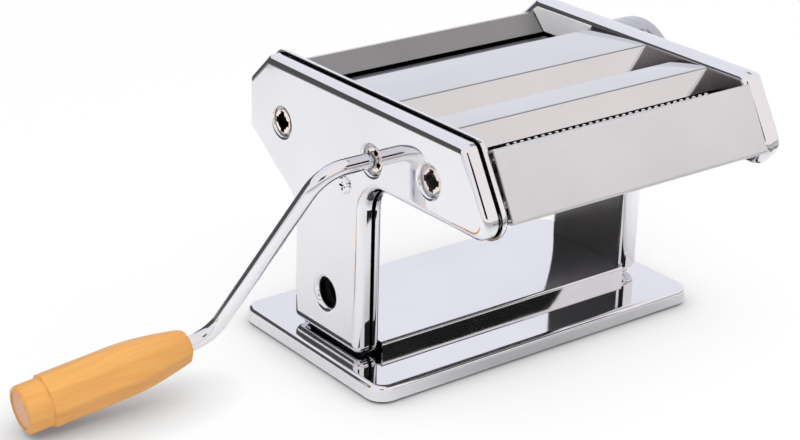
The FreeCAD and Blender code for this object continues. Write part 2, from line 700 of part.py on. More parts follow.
def cross_channel():
    body = new_body("cross_channel")
    section = new_sketch(body, "YZ_Plane")
    rectangle(section, "-channel_half", "channel_half", "base_top", "channel_top")
    pad(body, section, "2 * inner_half", both=True)
    top = number("channel_top")

    def along_the_top(edge):
        return runs_along_x(edge) and abs(edge.Vertexes[0].Point.z - top) < 1e-4

    round_edges(body, along_the_top, "bend_radius")
    inside = new_sketch(body, "YZ_Plane")
    rectangle(inside, "-channel_half + sheet", "channel_half - sheet", "base_top", "channel_top - sheet")
    pocket(body, inside, both=True)
    return body


def tie_rods():
    rods = []
    for y, z in tie_rods_at:
        rod = new_body(f"tie_rod_{len(rods) + 1}", y=y, z=z)
        pad(rod, circle(new_sketch(rod, "YZ_Plane"), "0", "0", "tie_radius"), f"2 * {plate_in}", both=True)
        for side in (LEFT, RIGHT):
            end = new_sketch(rod, "YZ_Plane", f"{side} * {plate_in}")
            circle(end, "0", "0", "screw_radius")
            pocket(rod, end, "tie_screw_deep", back=side == LEFT)
        rods.append(rod)
    return group("tie_rods", rods)


def pan_screw(label, side, seat, y, z):
    """A pan-head screw into a tie rod, its head seated on the outward face at seat."""
    screw = new_body(label, f"{side} * {seat}", y, z)
    out = side == LEFT
    pad(screw, circle(new_sketch(screw, "YZ_Plane"), "0", "0", "tie_screw_head"), "head_height", back=out)
    head_x = side * number("head_height")
    bevel_edges(screw, lambda edge: ends_at_x(edge, head_x), "head_bevel")
    shank = circle(new_sketch(screw, "YZ_Plane"), "0", "0", "screw_radius")
    pad(screw, shank, f"{seat} - {plate_in} + tie_screw_deep - screw_bottom", back=not out)
    return screw


def cover_screws():
    made = []
    for side, name in SIDE_NAMES.items():
        screw = pan_screw(f"{name}_cover_screw", side, cover_face, *tie_rods_at[0])
        slots = new_sketch(screw, "YZ_Plane", f"{side} * head_height")
        pocket(screw, cross(slots, "driver_reach", "driver_half"), "driver_depth", back=side == LEFT)
        made.append(screw)
    return group("cover_screws", made)


def tie_rod_screws():
    made = []
    for side in SIDE_NAMES:
        for y, z in tie_rods_at[1:]:
            made.append(pan_screw(f"tie_screw_{len(made) + 1}", side, plate_out, y, z))
    return group("tie_rod_screws", made)


# Folded sheets between the side walls. Each is given by the corners of its outer face, in Y and Z,
# and the metal lies to the left of that path.

scraper_reach = "(sheeter_radius + scraper_gap)"
scraper_edge_y = f"sheeter_y + {scraper_reach} * cos(scraper_angle)"
scraper_edge_z = f"sheeter_z - {scraper_reach} * sin(scraper_angle)"
lip_top = "(rear_low_z + 2 * sheet)"
SHEETS = {
    "rear_panel": [
        ("rear_y - rear_lip", "rear_low_z"),
        ("rear_y", "rear_low_z"),
        ("rear_y", "rear_bend_z"),
        ("hopper_top_y + panel_gap", "hopper_top_z"),
    ],
    "hopper_plate": [
        ("hopper_top_y", "hopper_top_z"),
        ("hopper_low_y", "hopper_low_z"),
    ],
    "rear_scraper": [
        ("rear_y - sheet - scraper_inset", lip_top),
        ("rear_y - rear_lip - sheet", lip_top),
        (scraper_edge_y, scraper_edge_z),
    ],
    "first_top_cover": [
        ("first_back_y + back_guide_run", "guide_low_z"),
        ("first_back_y", "crest_z - cover_fall"),
        ("first_crest_y", "crest_z"),
        ("first_crest_y - guide_run", "guide_low_z"),
    ],
    "second_top_cover": [
        ("second_back_y + back_guide_run", "guide_low_z"),
        ("second_back_y", "crest_z - cover_fall"),
        ("second_crest_y", "crest_z"),
        ("second_crest_y - guide_run", "guide_low_z"),
    ],
    "front_panel": [
        ("front_guide_y", "guide_low_z"),
        ("front_top_y", "front_top_z"),
        ("front_low_y", "front_low_z"),
        ("front_low_y + front_lip", "front_low_z - lip_fall"),
    ],
}


def folded_sheet(label, corners):
    """A bent sheet of even thickness that spans the clear width between the walls."""
    body = new_body(label)
    sketch = new_sketch(body, "YZ_Plane")
    wall = number("sheet")
    path = [vector(y, z, "0") for y, z in corners]
    runs = [(end - start).normalize() for start, end in zip(path, path[1:])]
    sides = [FreeCAD.Vector(-run.y, run.x, 0) for run in runs]
    inner = []
    for point, before, after in zip(path, sides[:1] + sides, sides + sides[-1:]):
        inner.append(point + (before + after) * (wall / (1 + before.dot(after))))
    loop = path + inner[::-1]
    count = len(path)
    for k, point in enumerate(loop):
        sketch.addGeometry(Part.LineSegment(point, loop[(k + 1) % len(loop)]), False)
    for k in range(len(loop)):
        sketch.addConstraint(Sketcher.Constraint("Coincident", k, 2, (k + 1) % len(loop), 1))
    for k, (y, z) in enumerate(corners):
        hold_point(sketch, k, 1, y, z)
    for k in range(count - 1):
        behind = len(loop) - 2 - k
        sketch.addConstraint(Sketcher.Constraint("Parallel", k, behind))
        bound = sketch.addConstraint(Sketcher.Constraint("Distance", behind, 1, k, wall))
        sketch.setExpression(f"Constraints[{bound}]", cell("sheet"))
    sketch.addConstraint(Sketcher.Constraint("Perpendicular", count - 2, count - 1))
    sketch.addConstraint(Sketcher.Constraint("Perpendicular", 0, len(loop) - 1))
    pad(body, sketch, "2 * inner_half", both=True)
    for bends, radius in ((path[1:-1], "bend_radius"), (inner[1:-1], "bend_radius - sheet")):
        if bends:
            round_edges(body, lambda edge: runs_at(edge, bends), radius)
    return body


# Rollers: each turns in the frame plates, with its gear on the left and, on a driven one, a socket

stub_end = f"({plate_out} + journal_stub)"
idle_end = f"({plate_out} + gear_gap + gear_thick + gear_collar)"
rear_socket = f"({cover_face} - socket_flush)"
deep_socket = f"({cover_face} - socket_deep)"
window_floor = f"({plate_out} + eccentric_gap - block_gap)"
blind_end = f"({window_floor} - bore_wall)"


def add_journal(body, side, end, radius):
    face = new_sketch(body, "YZ_Plane", f"{side} * roller_half")
    pad(body, circle(face, "0", "0", radius), f"{end} - roller_half", back=side == LEFT)


def cut_socket(body, end):
    """The crank's socket: a round bore with four slots for the crank's cross pin."""
    bore = circle(new_sketch(body, "YZ_Plane", f"-{end}"), "0", "0", "rod_radius + socket_play")
    pocket(body, bore, "bore_depth", back=True)
    keys = cross(new_sketch(body, "YZ_Plane", f"-{end}"), "key_reach", "key_width / 2")
    pocket(body, keys, "key_depth", back=True)


def sheet_roller(label, y, left_end, left_radius, right_end):
    body = new_body(label, y=y, z="sheeter_z")
    pad(body, circle(new_sketch(body, "YZ_Plane"), "0", "0", "sheeter_radius"), "2 * roller_half", both=True)
    add_journal(body, LEFT, left_end, left_radius)
    add_journal(body, RIGHT, right_end, "plain_shaft")
    return body


def cutter_roller(label, y, z, discs, pitch, sides, left_end, left_radius, turn="0"):
    """A core with evenly spaced cutting discs, half as wide as their pitch less the play."""
    body = new_body(label, y=y, z=z, turn=turn)
    pad(body, regular(new_sketch(body, "YZ_Plane"), sides, "core_radius"), "2 * roller_half", both=True)
    first = new_sketch(body, "YZ_Plane", f"-(({discs}) - 1) / 2 * {pitch}")
    disc = pad(body, regular(first, sides, "cutter_radius"), f"{pitch} / 2 - disc_play", both=True)
    repeat(body, disc, discs, pitch)
    add_journal(body, LEFT, left_end, left_radius)
    add_journal(body, RIGHT, stub_end, "plain_shaft")
    return body


def bush(label, side, y, z, journal):
    """A flanged sleeve in the frame plate, its flange on the plate's inner face."""
    body = new_body(label, y=y, z=z)
    inside = f"({journal} + run_play)"
    sleeve = f"({inside} + bush_wall)"
    flange = f"({sleeve} + flange_extra)"
    section = [
        (f"{plate_in} - bush_flange", inside),
        (f"{plate_out} + bush_stub", inside),
        (f"{plate_out} + bush_stub", sleeve),
        (plate_in, sleeve),
        (plate_in, flange),
        (f"{plate_in} - bush_flange", flange),
    ]
    revolve(body, [(f"{side} * ({x})", r) for x, r in section])
    return body


def bushes(label, driven, idle, z):
    """The bushes of one roller pair, both sides; an idle roller without bushes is given as nothing."""
    made = []
    for side, name in SIDE_NAMES.items():
        journal = "drive_shaft" if side == LEFT else "plain_shaft"
        made.append(bush(f"{label}_{name}_drive", side, driven, z, journal))
        if idle:
            made.append(bush(f"{label}_{name}_idle", side, idle, z, "plain_shaft"))
    return group(label, made)


def gear(label, y, z, root, tip, bore, turn="0"):
    """A spur gear of straight-sided teeth round a root disc."""
    body = new_body(label, f"-({plate_out} + gear_gap)", y, z, turn)
    pad(body, circle(new_sketch(body, "YZ_Plane"), "0", "0", root), "gear_thick", back=True)
    half_pitch = f"(pi * ({root} + {tip}) / 2 / gear_teeth)"
    wide, slim = f"tooth_share * {half_pitch} / 2", f"tip_share * {half_pitch} / 2"
    foot = f"{root} - tooth_sink"
    flanks = [(foot, f"-{wide}"), (tip, f"-{slim}"), (tip, slim), (foot, wide)]
    tooth = outline(new_sketch(body, "YZ_Plane"), flanks)
    spin(body, pad(body, tooth, "gear_thick", back=True), "gear_teeth")
    pocket(body, circle(new_sketch(body, "YZ_Plane"), "0", "0", bore), both=True)
    return body


def stripper_comb(label, nip, z, lean, discs, pitch):
    """A thin plate under the nip with a finger in every groove of one cutter roller."""
    body = new_body(label, y=f"{nip} + {lean} * comb_offset", z=z)
    aside = "(cutter_centres / 2 - comb_offset - comb_thick / 2)"
    finger_top = f"-sqrt((core_radius + comb_rise)^2 - {aside}^2)"
    web_top = f"-sqrt((cutter_radius + comb_rise)^2 - {aside}^2)"
    web = rectangle(new_sketch(body, "XZ_Plane"), "-inner_half", "inner_half", "-comb_low", web_top)
    pad(body, web, "comb_thick", both=True)
    middle = f"-(({discs}) - 2) / 2 * {pitch}"
    half = f"({pitch} / 4 + disc_play / 2 - comb_play)"
    finger = new_sketch(body, "XZ_Plane")
    rectangle(finger, f"{middle} - {half}", f"{middle} + {half}", web_top, finger_top)
    repeat(body, pad(body, finger, "comb_thick", both=True), f"({discs}) - 1", pitch)
    return body


# Gap adjuster: bearing blocks that slide in the frame plates, moved by an eccentric on the dial shaft

dial_y = f"({idle_y} + throw)"
block_face = "(inner_half + sheet + block_gap)"
eccentric_face = f"({plate_out} + eccentric_gap)"
knob_rim = f"({cover_face} + knob_start)"
web_face = "(knob_web_at + knob_web)"
dial_end = f"({knob_rim} + {web_face} + spring_length + 2 * spring_gap)"


def slide_block(side):
    body = new_body(f"{SIDE_NAMES[side]}_slide_block", y=idle_y, z="sheeter_z")
    out = side == LEFT
    wide = "(block_half + block_flange)"
    flange = new_sketch(body, "YZ_Plane", f"{side} * {block_face}")
    rectangle(flange, f"-{wide}", wide, "-block_low", wide)
    pad(body, flange, f"{plate_in} - block_gap - {block_face}", back=out)
    neck = new_sketch(body, "YZ_Plane", f"{side} * {block_face}")
    rectangle(neck, "-block_half", "block_half", "-block_half", "block_half")
    neck_end = f"({plate_out} + bush_stub)" if out else f"({eccentric_face} + eccentric_thick)"
    pad(body, neck, f"{neck_end} - {block_face}", back=out)
    bar = circle(new_sketch(body, "YZ_Plane"), "0", "-bar_below", "bar_radius")
    pocket(body, bar, both=True)
    journal = new_sketch(body, "YZ_Plane", f"{side} * {block_face}")
    circle(journal, "0", "0", "plain_shaft + run_play")
    if out:
        pocket(body, journal, both=True)
    else:
        pocket(body, journal, f"{blind_end} - {block_face}", back=True)
        window = new_sketch(body, "YZ_Plane", neck_end)
        reach, rise = "(eccentric_radius + window_play)", "(eccentric_radius + window_play + throw)"
        rectangle(window, f"-{reach}", reach, f"-{rise}", rise)
        pocket(body, window, f"{neck_end} - {window_floor}")
    return body


def carriage_bar():
    body = new_body("carriage_bar", y=idle_y, z="sheeter_z - bar_below")
    section = circle(new_sketch(body, "YZ_Plane"), "0", "0", "bar_radius")
    pad(body, section, f"2 * ({plate_in} - block_gap)", both=True)
    return body


def dial_eccentric():
    body = new_body("dial_eccentric", y=dial_y, z="sheeter_z")
    disc = circle(new_sketch(body, "YZ_Plane", eccentric_face), "-throw", "0", "eccentric_radius")
    pad(body, disc, "eccentric_thick")
    shaft_end = f"({cover_face} + dial_shaft_out)"
    shaft = circle(new_sketch(body, "YZ_Plane", eccentric_face), "0", "0", "dial_shaft")
    pad(body, shaft, f"{shaft_end} - {eccentric_face}")
    half = "dial_square / 2"
    square = rectangle(new_sketch(body, "YZ_Plane", shaft_end), f"-{half}", half, f"-{half}", half)
    pad(body, square, f"{dial_end} - {shaft_end}")
    pocket(body, circle(new_sketch(body, "YZ_Plane", dial_end), "0", "0", "screw_radius"), "dial_screw_deep")
    return body


def dial_screw():
    """A wide-headed screw that keeps the spring on the shaft."""
    body = new_body("dial_screw", dial_end, dial_y, "sheeter_z")
    pad(body, circle(new_sketch(body, "YZ_Plane"), "0", "0", "dial_head"), "dial_head_thick")
    shank = circle(new_sketch(body, "YZ_Plane"), "0", "0", "screw_radius")
    pad(body, shank, "dial_screw_deep - screw_bottom", back=True)
    slots = cross(new_sketch(body, "YZ_Plane", "dial_head_thick"), "driver_reach", "driver_half")
    pocket(body, slots, "driver_depth")
    return body


def dial_bush():
    body = new_body("dial_bush", cover_face, dial_y, "sheeter_z")
    inside = "(dial_shaft + run_play)"
    sleeve = f"({inside} + bush_wall)"
    flange = f"({sleeve} + flange_extra)"
    section = [
        ("-sheet - dial_flange", inside),
        ("dial_bush_out", inside),
        ("dial_bush_out", sleeve),
        ("-sheet", sleeve),
        ("-sheet", flange),
        ("-sheet - dial_flange", flange),
    ]
    revolve(body, section)
    return body


def index_ring():
    """A ring on the cover with a round track and evenly spaced pockets for the knob's pin."""
    body = new_body("index_ring", cover_face, dial_y, "sheeter_z")
    aside = "(pin_radius + track_play)"
    section = [
        ("0", "ring_inner"),
        ("0", "ring_outer"),
        ("ring_thick", "ring_outer"),
        ("ring_thick", f"track_radius + {aside}"),
        ("track_floor", f"track_radius + {aside}"),
        ("track_floor", f"track_radius - {aside}"),
        ("ring_thick", f"track_radius - {aside}"),
        ("ring_thick", "ring_inner"),
    ]
    revolve(body, section)
    hole = regular(new_sketch(body, "YZ_Plane", "track_floor"), "index_sides", aside, "0", "track_radius")
    spin(body, pocket(body, hole, "index_depth"), "index_count")
    return body


def dial_knob():
    """A turned knob: an open rim towards the wall, a hub on the square, a pocket for the spring."""
    body = new_body("dial_knob", knob_rim, dial_y, "sheeter_z")
    inside = "(knob_radius - knob_wall)"
    shoulder = "(knob_round * (1 - cos(45)))"
    section = [
        ("hub_start", "0"),
        ("hub_start", "hub_radius"),
        ("knob_web_at", "hub_radius"),
        ("knob_web_at", inside),
        ("0", inside),
        ("0", "knob_radius"),
        ("knob_length - knob_round", "knob_radius"),
        (f"knob_length - {shoulder}", f"knob_radius - {shoulder}"),
        ("knob_length", "knob_radius - knob_round"),
        ("knob_length", "spring_pocket"),
        (web_face, "spring_pocket"),
        (web_face, "0"),
    ]
    revolve(body, section)
    half = "(dial_square / 2 + square_play)"
    pocket(body, rectangle(new_sketch(body, "YZ_Plane"), f"-{half}", half, f"-{half}", half), both=True)
    pin = circle(new_sketch(body, "YZ_Plane", "knob_web_at"), "0", "track_radius", "pin_radius")
    pocket(body, pin, "pin_seat", back=True)
    return body


def index_pin():
    body = new_body("index_pin", y=dial_y, z="sheeter_z")
    tip = f"({cover_face} + track_floor + track_play)"
    section = circle(new_sketch(body, "YZ_Plane", tip), "0", "track_radius", "pin_radius")
    pad(body, section, f"{knob_rim} + knob_web_at + pin_seat - {tip}")
    return body


def knob_spring():
    body = new_body("knob_spring", f"{knob_rim} + {web_face} + spring_gap", dial_y, "sheeter_z")
    ring = circle(new_sketch(body, "YZ_Plane"), "0", "0", "spring_outer")
    pad(body, circle(ring, "0", "0", "spring_inner"), "spring_length")
    return body


def knob_cap():
    body = new_body("knob_cap", f"{knob_rim} + knob_length", dial_y, "sheeter_z")
    pad(body, circle(new_sketch(body, "YZ_Plane"), "0", "0", "spring_pocket"), "cap_thick", back=True)
    return body


# Crank: one bent rod, drawn in the plane of its arm, with a grip that turns on its outer end

rod_corner_x = f"({cover_face} + rod_corner)"
grip_x = f"({rod_corner_x} + arm_lean + grip_start * cos(grip_droop))"
grip_reach = "(arm_throw + grip_start * sin(grip_droop))"
rod_in_grip = "(grip_start + grip_length - recess_depth + washer_gap + washer_thick)"
SWELL_STEPS = 3
CRANK_AT = {"y": "wide_y", "z": "wide_z", "turn": "crank_turn"}
GRIP_AT = {
    "x": f"-{grip_x}",
    "y": f"wide_y + {grip_reach} * sin(crank_turn)",
    "z": f"wide_z - {grip_reach} * cos(crank_turn)",
    "turn": "crank_turn",
    "tilt": "180 - grip_droop",
}


def bent_path(body, corners, bend):
    """Straight runs through the corners, joined by tangent arcs of one radius."""
    sketch = new_sketch(body, "XZ_Plane")
    points = [vector(x, z, "0") for x, z in corners]
    size = number(bend)
    starts, ends, arcs = [points[0]], [], []
    for before, corner, after in zip(points, points[1:], points[2:]):
        came, goes = (corner - before).normalize(), (after - corner).normalize()
        half = came.getAngle(goes) / 2
        ends.append(corner - came * (size * math.tan(half)))
        starts.append(corner + goes * (size * math.tan(half)))
        centre = corner + (goes - came).normalize() * (size / math.cos(half))
        arcs.append(Part.Arc(ends[-1], centre + (corner - centre).normalize() * size, starts[-1]))
    ends.append(points[-1])
    runs = [sketch.addGeometry(Part.LineSegment(a, b), False) for a, b in zip(starts, ends)]
    for k, arc in enumerate(arcs):
        made = sketch.addGeometry(arc, False)
        first = 1 if (sketch.getPoint(made, 1) - ends[k]).Length < 1e-6 else 2
        sketch.addConstraint(Sketcher.Constraint("Tangent", runs[k], 2, made, first))
        sketch.addConstraint(Sketcher.Constraint("Tangent", runs[k + 1], 1, made, 3 - first))
        bound = sketch.addConstraint(Sketcher.Constraint("Radius", made, size))
        sketch.setExpression(f"Constraints[{bound}]", cell(bend))
        corner = sketch.addGeometry(Part.Point(points[k + 1]), True)
        hold_point(sketch, corner, 1, *corners[k + 1])
        for run in (runs[k], runs[k + 1]):
            sketch.addConstraint(Sketcher.Constraint("PointOnObject", corner, 1, run))
    hold_point(sketch, runs[0], 1, *corners[0])
    hold_point(sketch, runs[-1], 2, *corners[-1])
    doc.recompute()
    return sketch


def crank_rod():
    body = new_body("crank_rod", **CRANK_AT)
    inner_end = f"-({cover_face} - rod_inside)"
    elbow = f"-({rod_corner_x} + arm_lean)"
    corners = [
        (inner_end, "0"),
        (f"-{rod_corner_x}", "0"),
        (elbow, "-arm_throw"),
        (f"{elbow} - {rod_in_grip} * cos(grip_droop)", f"-arm_throw - {rod_in_grip} * sin(grip_droop)"),
    ]
    path = bent_path(body, corners, "rod_bend")
    rod = body.newObject("PartDesign::AdditivePipe", "crank_rod_pipe")
    rod.Profile = circle(new_sketch(body, "YZ_Plane", inner_end), "0", "0", "rod_radius")
    rod.Spine = path
    doc.recompute()
    pin = circle(new_sketch(body, "XY_Plane"), f"-({cover_face} - pin_back)", "0", "pin_wire")
    pocket(body, pin, both=True)
    return body


def crank_pin():
    body = new_body("crank_pin", **CRANK_AT)
    section = circle(new_sketch(body, "XY_Plane"), f"-({cover_face} - pin_back)", "0", "pin_wire")
    pad(body, section, "2 * pin_half", both=True)
    return body


def crank_grip():
    """An eight-sided grip that swells to its fullest, with a plain turned cap and a bore for the rod."""
    body = new_body("crank_grip", **GRIP_AT)
    cap_start = "(grip_length - cap_length)"
    steps = [f"{k} / {SWELL_STEPS}" for k in range(SWELL_STEPS + 1)]
    swell = [(f"grip_full * {step}", f"sin(90 * {step})") for step in steps]
    sections = []
    for x, share in swell + [(cap_start, "1")]:
        flat = f"(grip_small + (grip_flat - grip_small) * {share})"
        corner = f"{flat} / cos(180 / grip_flats)"
        sections.append(regular(new_sketch(body, "YZ_Plane", x), "grip_flats", corner))
    doc.recompute()
    swelling = body.newObject("PartDesign::AdditiveLoft", "crank_grip_swelling")
    swelling.Profile = sections[0]
    swelling.Sections = sections[1:]
    swelling.Ruled = True
    doc.recompute()
    pad(body, circle(new_sketch(body, "YZ_Plane", cap_start), "0", "0", "grip_cap"), "cap_length")
    pocket(body, circle(new_sketch(body, "YZ_Plane"), "0", "0", "rod_radius + grip_play"), both=True)
    recess = circle(new_sketch(body, "YZ_Plane", "grip_length"), "0", "0", "grip_recess")
    pocket(body, recess, "recess_depth")
    return body


def grip_washer():
    body = new_body("grip_washer", **GRIP_AT)
    seat = "grip_length - recess_depth + washer_gap"
    ring = circle(new_sketch(body, "YZ_Plane", seat), "0", "0", "washer_radius")
    pad(body, circle(ring, "0", "0", "rod_radius"), "washer_thick")
    return body


def grip_end_plug():
    body = new_body("grip_end_plug", **GRIP_AT)
    face = circle(new_sketch(body, "YZ_Plane", "grip_length - plug_sunk"), "0", "0", "grip_recess")
    pad(body, face, "plug_thick", back=True)
    return body


# Put the pieces together in order, from the stand upwards

for made in (base_plate(), base_feet(), base_screws(), cross_channel()):
    keep(made)
for side in (LEFT, RIGHT):
    keep(inner_shell(side))
    keep(frame_plate(side))
    keep(outer_cover(side))
for made in (tie_rods(), tie_rod_screws(), cover_screws()):
    keep(made)
for label, corners in SHEETS.items():
    keep(folded_sheet(label, corners))

half_tooth = "180 / gear_teeth"
driven = keep(sheet_roller("sheeter_drive_roller", "sheeter_y", rear_socket, "drive_shaft", stub_end))
cut_socket(driven, rear_socket)
keep(sheet_roller("sheeter_idle_roller", idle_y, idle_end, "plain_shaft", f"({blind_end} - block_gap)"))
SHEET_TEETH = ("sheeter_z", "sheeter_root", "sheeter_tip")
keep(gear("sheeter_drive_gear", "sheeter_y", *SHEET_TEETH, "drive_shaft"))
keep(gear("sheeter_idle_gear", idle_y, *SHEET_TEETH, "plain_shaft", half_tooth))
keep(bushes("sheeter_bushes", "sheeter_y", "", "sheeter_z"))

CUTTERS = {
    "wide": ("wide_y", wide_idle_y, "wide_discs", "wide_discs + 1", "crank_turn"),
    "thin": ("thin_y", thin_idle_y, "thin_discs", "thin_discs - 1", "0"),
}
for name, (drive_y, follow_y, discs, idle_discs, turn) in CUTTERS.items():
    z, pitch, sides = f"{name}_z", f"{name}_pitch", f"{name}_sides"
    nip = f"({drive_y} - cutter_centres / 2)"
    shape = (pitch, sides)
    ends = (deep_socket, "drive_shaft", turn)
    driven = cutter_roller(f"{name}_drive_roller", drive_y, z, discs, *shape, *ends)
    cut_socket(driven, deep_socket)
    keep(driven)
    keep(cutter_roller(f"{name}_idle_roller", follow_y, z, idle_discs, *shape, idle_end, "plain_shaft"))
    keep(gear(f"{name}_drive_gear", drive_y, z, "cutter_root", "cutter_tip", "drive_shaft"))
    keep(gear(f"{name}_idle_gear", follow_y, z, "cutter_root", "cutter_tip", "plain_shaft", half_tooth))
    keep(bushes(f"{name}_cutter_bushes", drive_y, follow_y, z))
    keep(stripper_comb(f"{name}_drive_comb", nip, z, 1, discs, pitch))
    keep(stripper_comb(f"{name}_idle_comb", nip, z, -1, idle_discs, pitch))

for side in (LEFT, RIGHT):
    keep(slide_block(side))
for made in (carriage_bar(), dial_eccentric(), dial_screw(), dial_bush(), index_ring()):
    keep(made)
for made in (dial_knob(), index_pin(), knob_spring(), knob_cap()):
    keep(made)
for made in (crank_rod(), crank_pin(), crank_grip(), grip_washer(), grip_end_plug()):
    keep(made)

# Check every piece, then write one file for each


def failed(item):
    return any(word in item.State for word in ("Invalid", "Error"))


doc.recompute()
bad = [item.Label for item in doc.Objects if failed(item)]
bad += [piece.Label for piece in pieces if piece.Shape.isNull() or not piece.Shape.isValid()]
if bad:
    raise ValueError("failed: " + ", ".join(bad))
os.makedirs("parts", exist_ok=True)
for piece in pieces:
    piece.Shape.exportStep(f"parts/{piece.Label}.step")
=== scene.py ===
import math
import bmesh
import bpy
import numpy as np
from mathutils import Matrix, Vector
from mathutils.geometry import tessellate_polygon


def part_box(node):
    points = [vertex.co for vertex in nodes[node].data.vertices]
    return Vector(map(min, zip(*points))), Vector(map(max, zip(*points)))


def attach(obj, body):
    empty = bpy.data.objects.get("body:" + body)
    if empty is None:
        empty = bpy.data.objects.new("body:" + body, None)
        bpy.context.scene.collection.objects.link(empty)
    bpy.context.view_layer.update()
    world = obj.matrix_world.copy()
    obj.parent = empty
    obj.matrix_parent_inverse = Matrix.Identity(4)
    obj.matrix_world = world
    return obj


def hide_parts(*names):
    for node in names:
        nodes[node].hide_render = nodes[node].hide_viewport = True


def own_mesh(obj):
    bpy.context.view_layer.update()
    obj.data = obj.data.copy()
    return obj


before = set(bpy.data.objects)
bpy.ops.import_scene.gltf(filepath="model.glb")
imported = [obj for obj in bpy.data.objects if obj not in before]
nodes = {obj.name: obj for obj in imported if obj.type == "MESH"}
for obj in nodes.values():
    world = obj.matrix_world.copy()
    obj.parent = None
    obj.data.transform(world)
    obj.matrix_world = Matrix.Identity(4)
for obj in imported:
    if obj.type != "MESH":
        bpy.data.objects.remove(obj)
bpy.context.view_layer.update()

# The stand: a shallow pan pressed from sheet steel and chromed, open below, with its corners and
# upper edge drawn round in the press. Everything else is screwed down on it.

MM = 0.001
SHEET = 1.0 * MM
SMOOTH_BELOW = math.radians(32)
STAND_CORNER = 9.0 * MM
STAND_EDGE = 2.5 * MM
EDGE_STEPS = 10
FLAT_RIM = 0.25 * MM
WELD_WITHIN = 0.002 * MM
NOISE_LOW = 0.3
NOISE_HIGH = 0.7
CHROME_BRIGHT = (0.82, 0.82, 0.84)
CHROME_SOFT = (0.78, 0.78, 0.80)


def bends(corners, radii, steps, closed):
    """Points along straight runs joined by tangent arcs, and the unit normal to the right of travel.

    At a corner that turns by t, the arc of radius r starts r tan(t / 2) before the corner, and its
    normal turns evenly from the incoming run's to the outgoing run's.
    """
    corners = np.asarray(corners, float)
    radii = np.broadcast_to(np.asarray(radii, float), len(corners))
    came = corners - np.roll(corners, 1, 0)
    came /= np.linalg.norm(came, axis=1, keepdims=True)
    goes = np.roll(came, -1, 0)
    if not closed:
        came[0], goes[-1] = goes[0], came[-1]
    turn = np.arctan2(came[:, 0] * goes[:, 1] - came[:, 1] * goes[:, 0], (came * goes).sum(1))
    right = np.stack([came[:, 1], -came[:, 0]], 1)
    start = corners - came * (radii * np.tan(abs(turn) / 2))[:, None]
    side = np.sign(turn)[:, None] * radii[:, None]
    centre = start - right * side
    angle = np.arctan2(right[:, 1], right[:, 0])[:, None] + turn[:, None] * np.linspace(0, 1, steps + 1)
    normal = np.stack([np.cos(angle), np.sin(angle)], -1)
    points = centre[:, None] + normal * side[:, None]
    if not closed:
        keep = np.ones(points.shape[:2], bool)
        keep[[0, -1], 1:] = False
        return points[keep], normal[keep]
    return points.reshape(-1, 2), normal.reshape(-1, 2)


def grid_faces(rows, columns, wrap=True):
    """Quads between neighbouring rows and columns of a grid of points; the columns may wrap round."""
    row, column = np.meshgrid(np.arange(rows - 1), np.arange(columns - (not wrap)), indexing="ij")
    after = (column + 1) % columns
    corners = [row * columns + column, row * columns + after]
    corners += [(row + 1) * columns + after, (row + 1) * columns + column]
    return np.stack(corners, -1).reshape(-1, 4)


def quarter(radius, steps=EDGE_STEPS):
    """A quarter round as inset and height below the face, from the side wall up to the face."""
    angle = np.linspace(0, math.pi / 2, steps + 1)
    return radius * (1 - np.cos(angle)), radius * (1 - np.sin(angle))


def pan_rings(loop, normal, inset, height):
    """The drawn side of a pan: the outline moved inwards by inset, at each height of the profile."""
    rings = loop[None] - normal[None] * np.asarray(inset)[:, None, None]
    level = np.broadcast_to(np.asarray(height)[:, None, None], rings.shape[:2] + (1,))
    return np.concatenate([rings, level], -1)


def fill(loops):
    """Triangles over the first loop less the other loops, which lie inside it in the same plane."""
    return np.array(tessellate_polygon([loop[:, :2].tolist() for loop in loops]))


def pan(loop, normal, edge, open_at, face_at, holes=()):
    """A pressed pan of even thickness: its outline carried from the inner face down the inside, round the
    open edge, up the outside and over a quarter round onto the face. Each hole is a stack of rings from the
    outer face, where its depth is 0, to the inner face."""
    way = math.copysign(1, face_at - open_at)
    flat = [edge + FLAT_RIM]
    inset, fall = quarter(edge)
    outer = (np.concatenate([[0], inset, flat]),
             np.concatenate([[open_at], face_at - way * fall, [face_at]]))
    inset, fall = quarter(edge - SHEET)
    level = face_at - way * SHEET
    inner = (np.concatenate([[SHEET], inset + SHEET, flat]),
             np.concatenate([[open_at], level - way * fall, [level]]))
    rings = np.concatenate([pan_rings(loop, normal, *inner)[::-1], pan_rings(loop, normal, *outer)])
    stacks = [stack * (1, 1, -way) + (0, 0, face_at) for stack in holes]
    patches = [(rings, grid_faces(*rings.shape[:2]))]
    patches += [(stack, grid_faces(*stack.shape[:2])) for stack in stacks]
    for side in (0, -1):
        loops = [rings[side]] + [stack[-1 - side] for stack in stacks]
        patches.append((np.concatenate(loops), fill(loops)))
    return patches


def make_piece(name, patches, finish, body, replaced):
    """One object from patches of points and faces, welded where they meet, facing outwards and smooth
    except at edges."""
    start = np.cumsum([0] + [points.size // 3 for points, faces in patches])
    points = np.concatenate([points.reshape(-1, 3) for points, faces in patches])
    faces = [face for (_, group), k in zip(patches, start) for face in (np.asarray(group) + k).tolist()]
    mesh = bpy.data.meshes.new(name)
    mesh.from_pydata(points.tolist(), [], faces)
    work = bmesh.new()
    work.from_mesh(mesh)
    bmesh.ops.remove_doubles(work, verts=work.verts, dist=WELD_WITHIN)
    bmesh.ops.recalc_face_normals(work, faces=work.faces)
    work.to_mesh(mesh)
    work.free()
    mesh.shade_smooth()
    mesh.set_sharp_from_angle(angle=SMOOTH_BELOW)
    mesh.materials.append(finish)
    piece = bpy.data.objects.new(name, mesh)
    bpy.context.scene.collection.objects.link(piece)
    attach(piece, body)
    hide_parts(*replaced)
    return piece


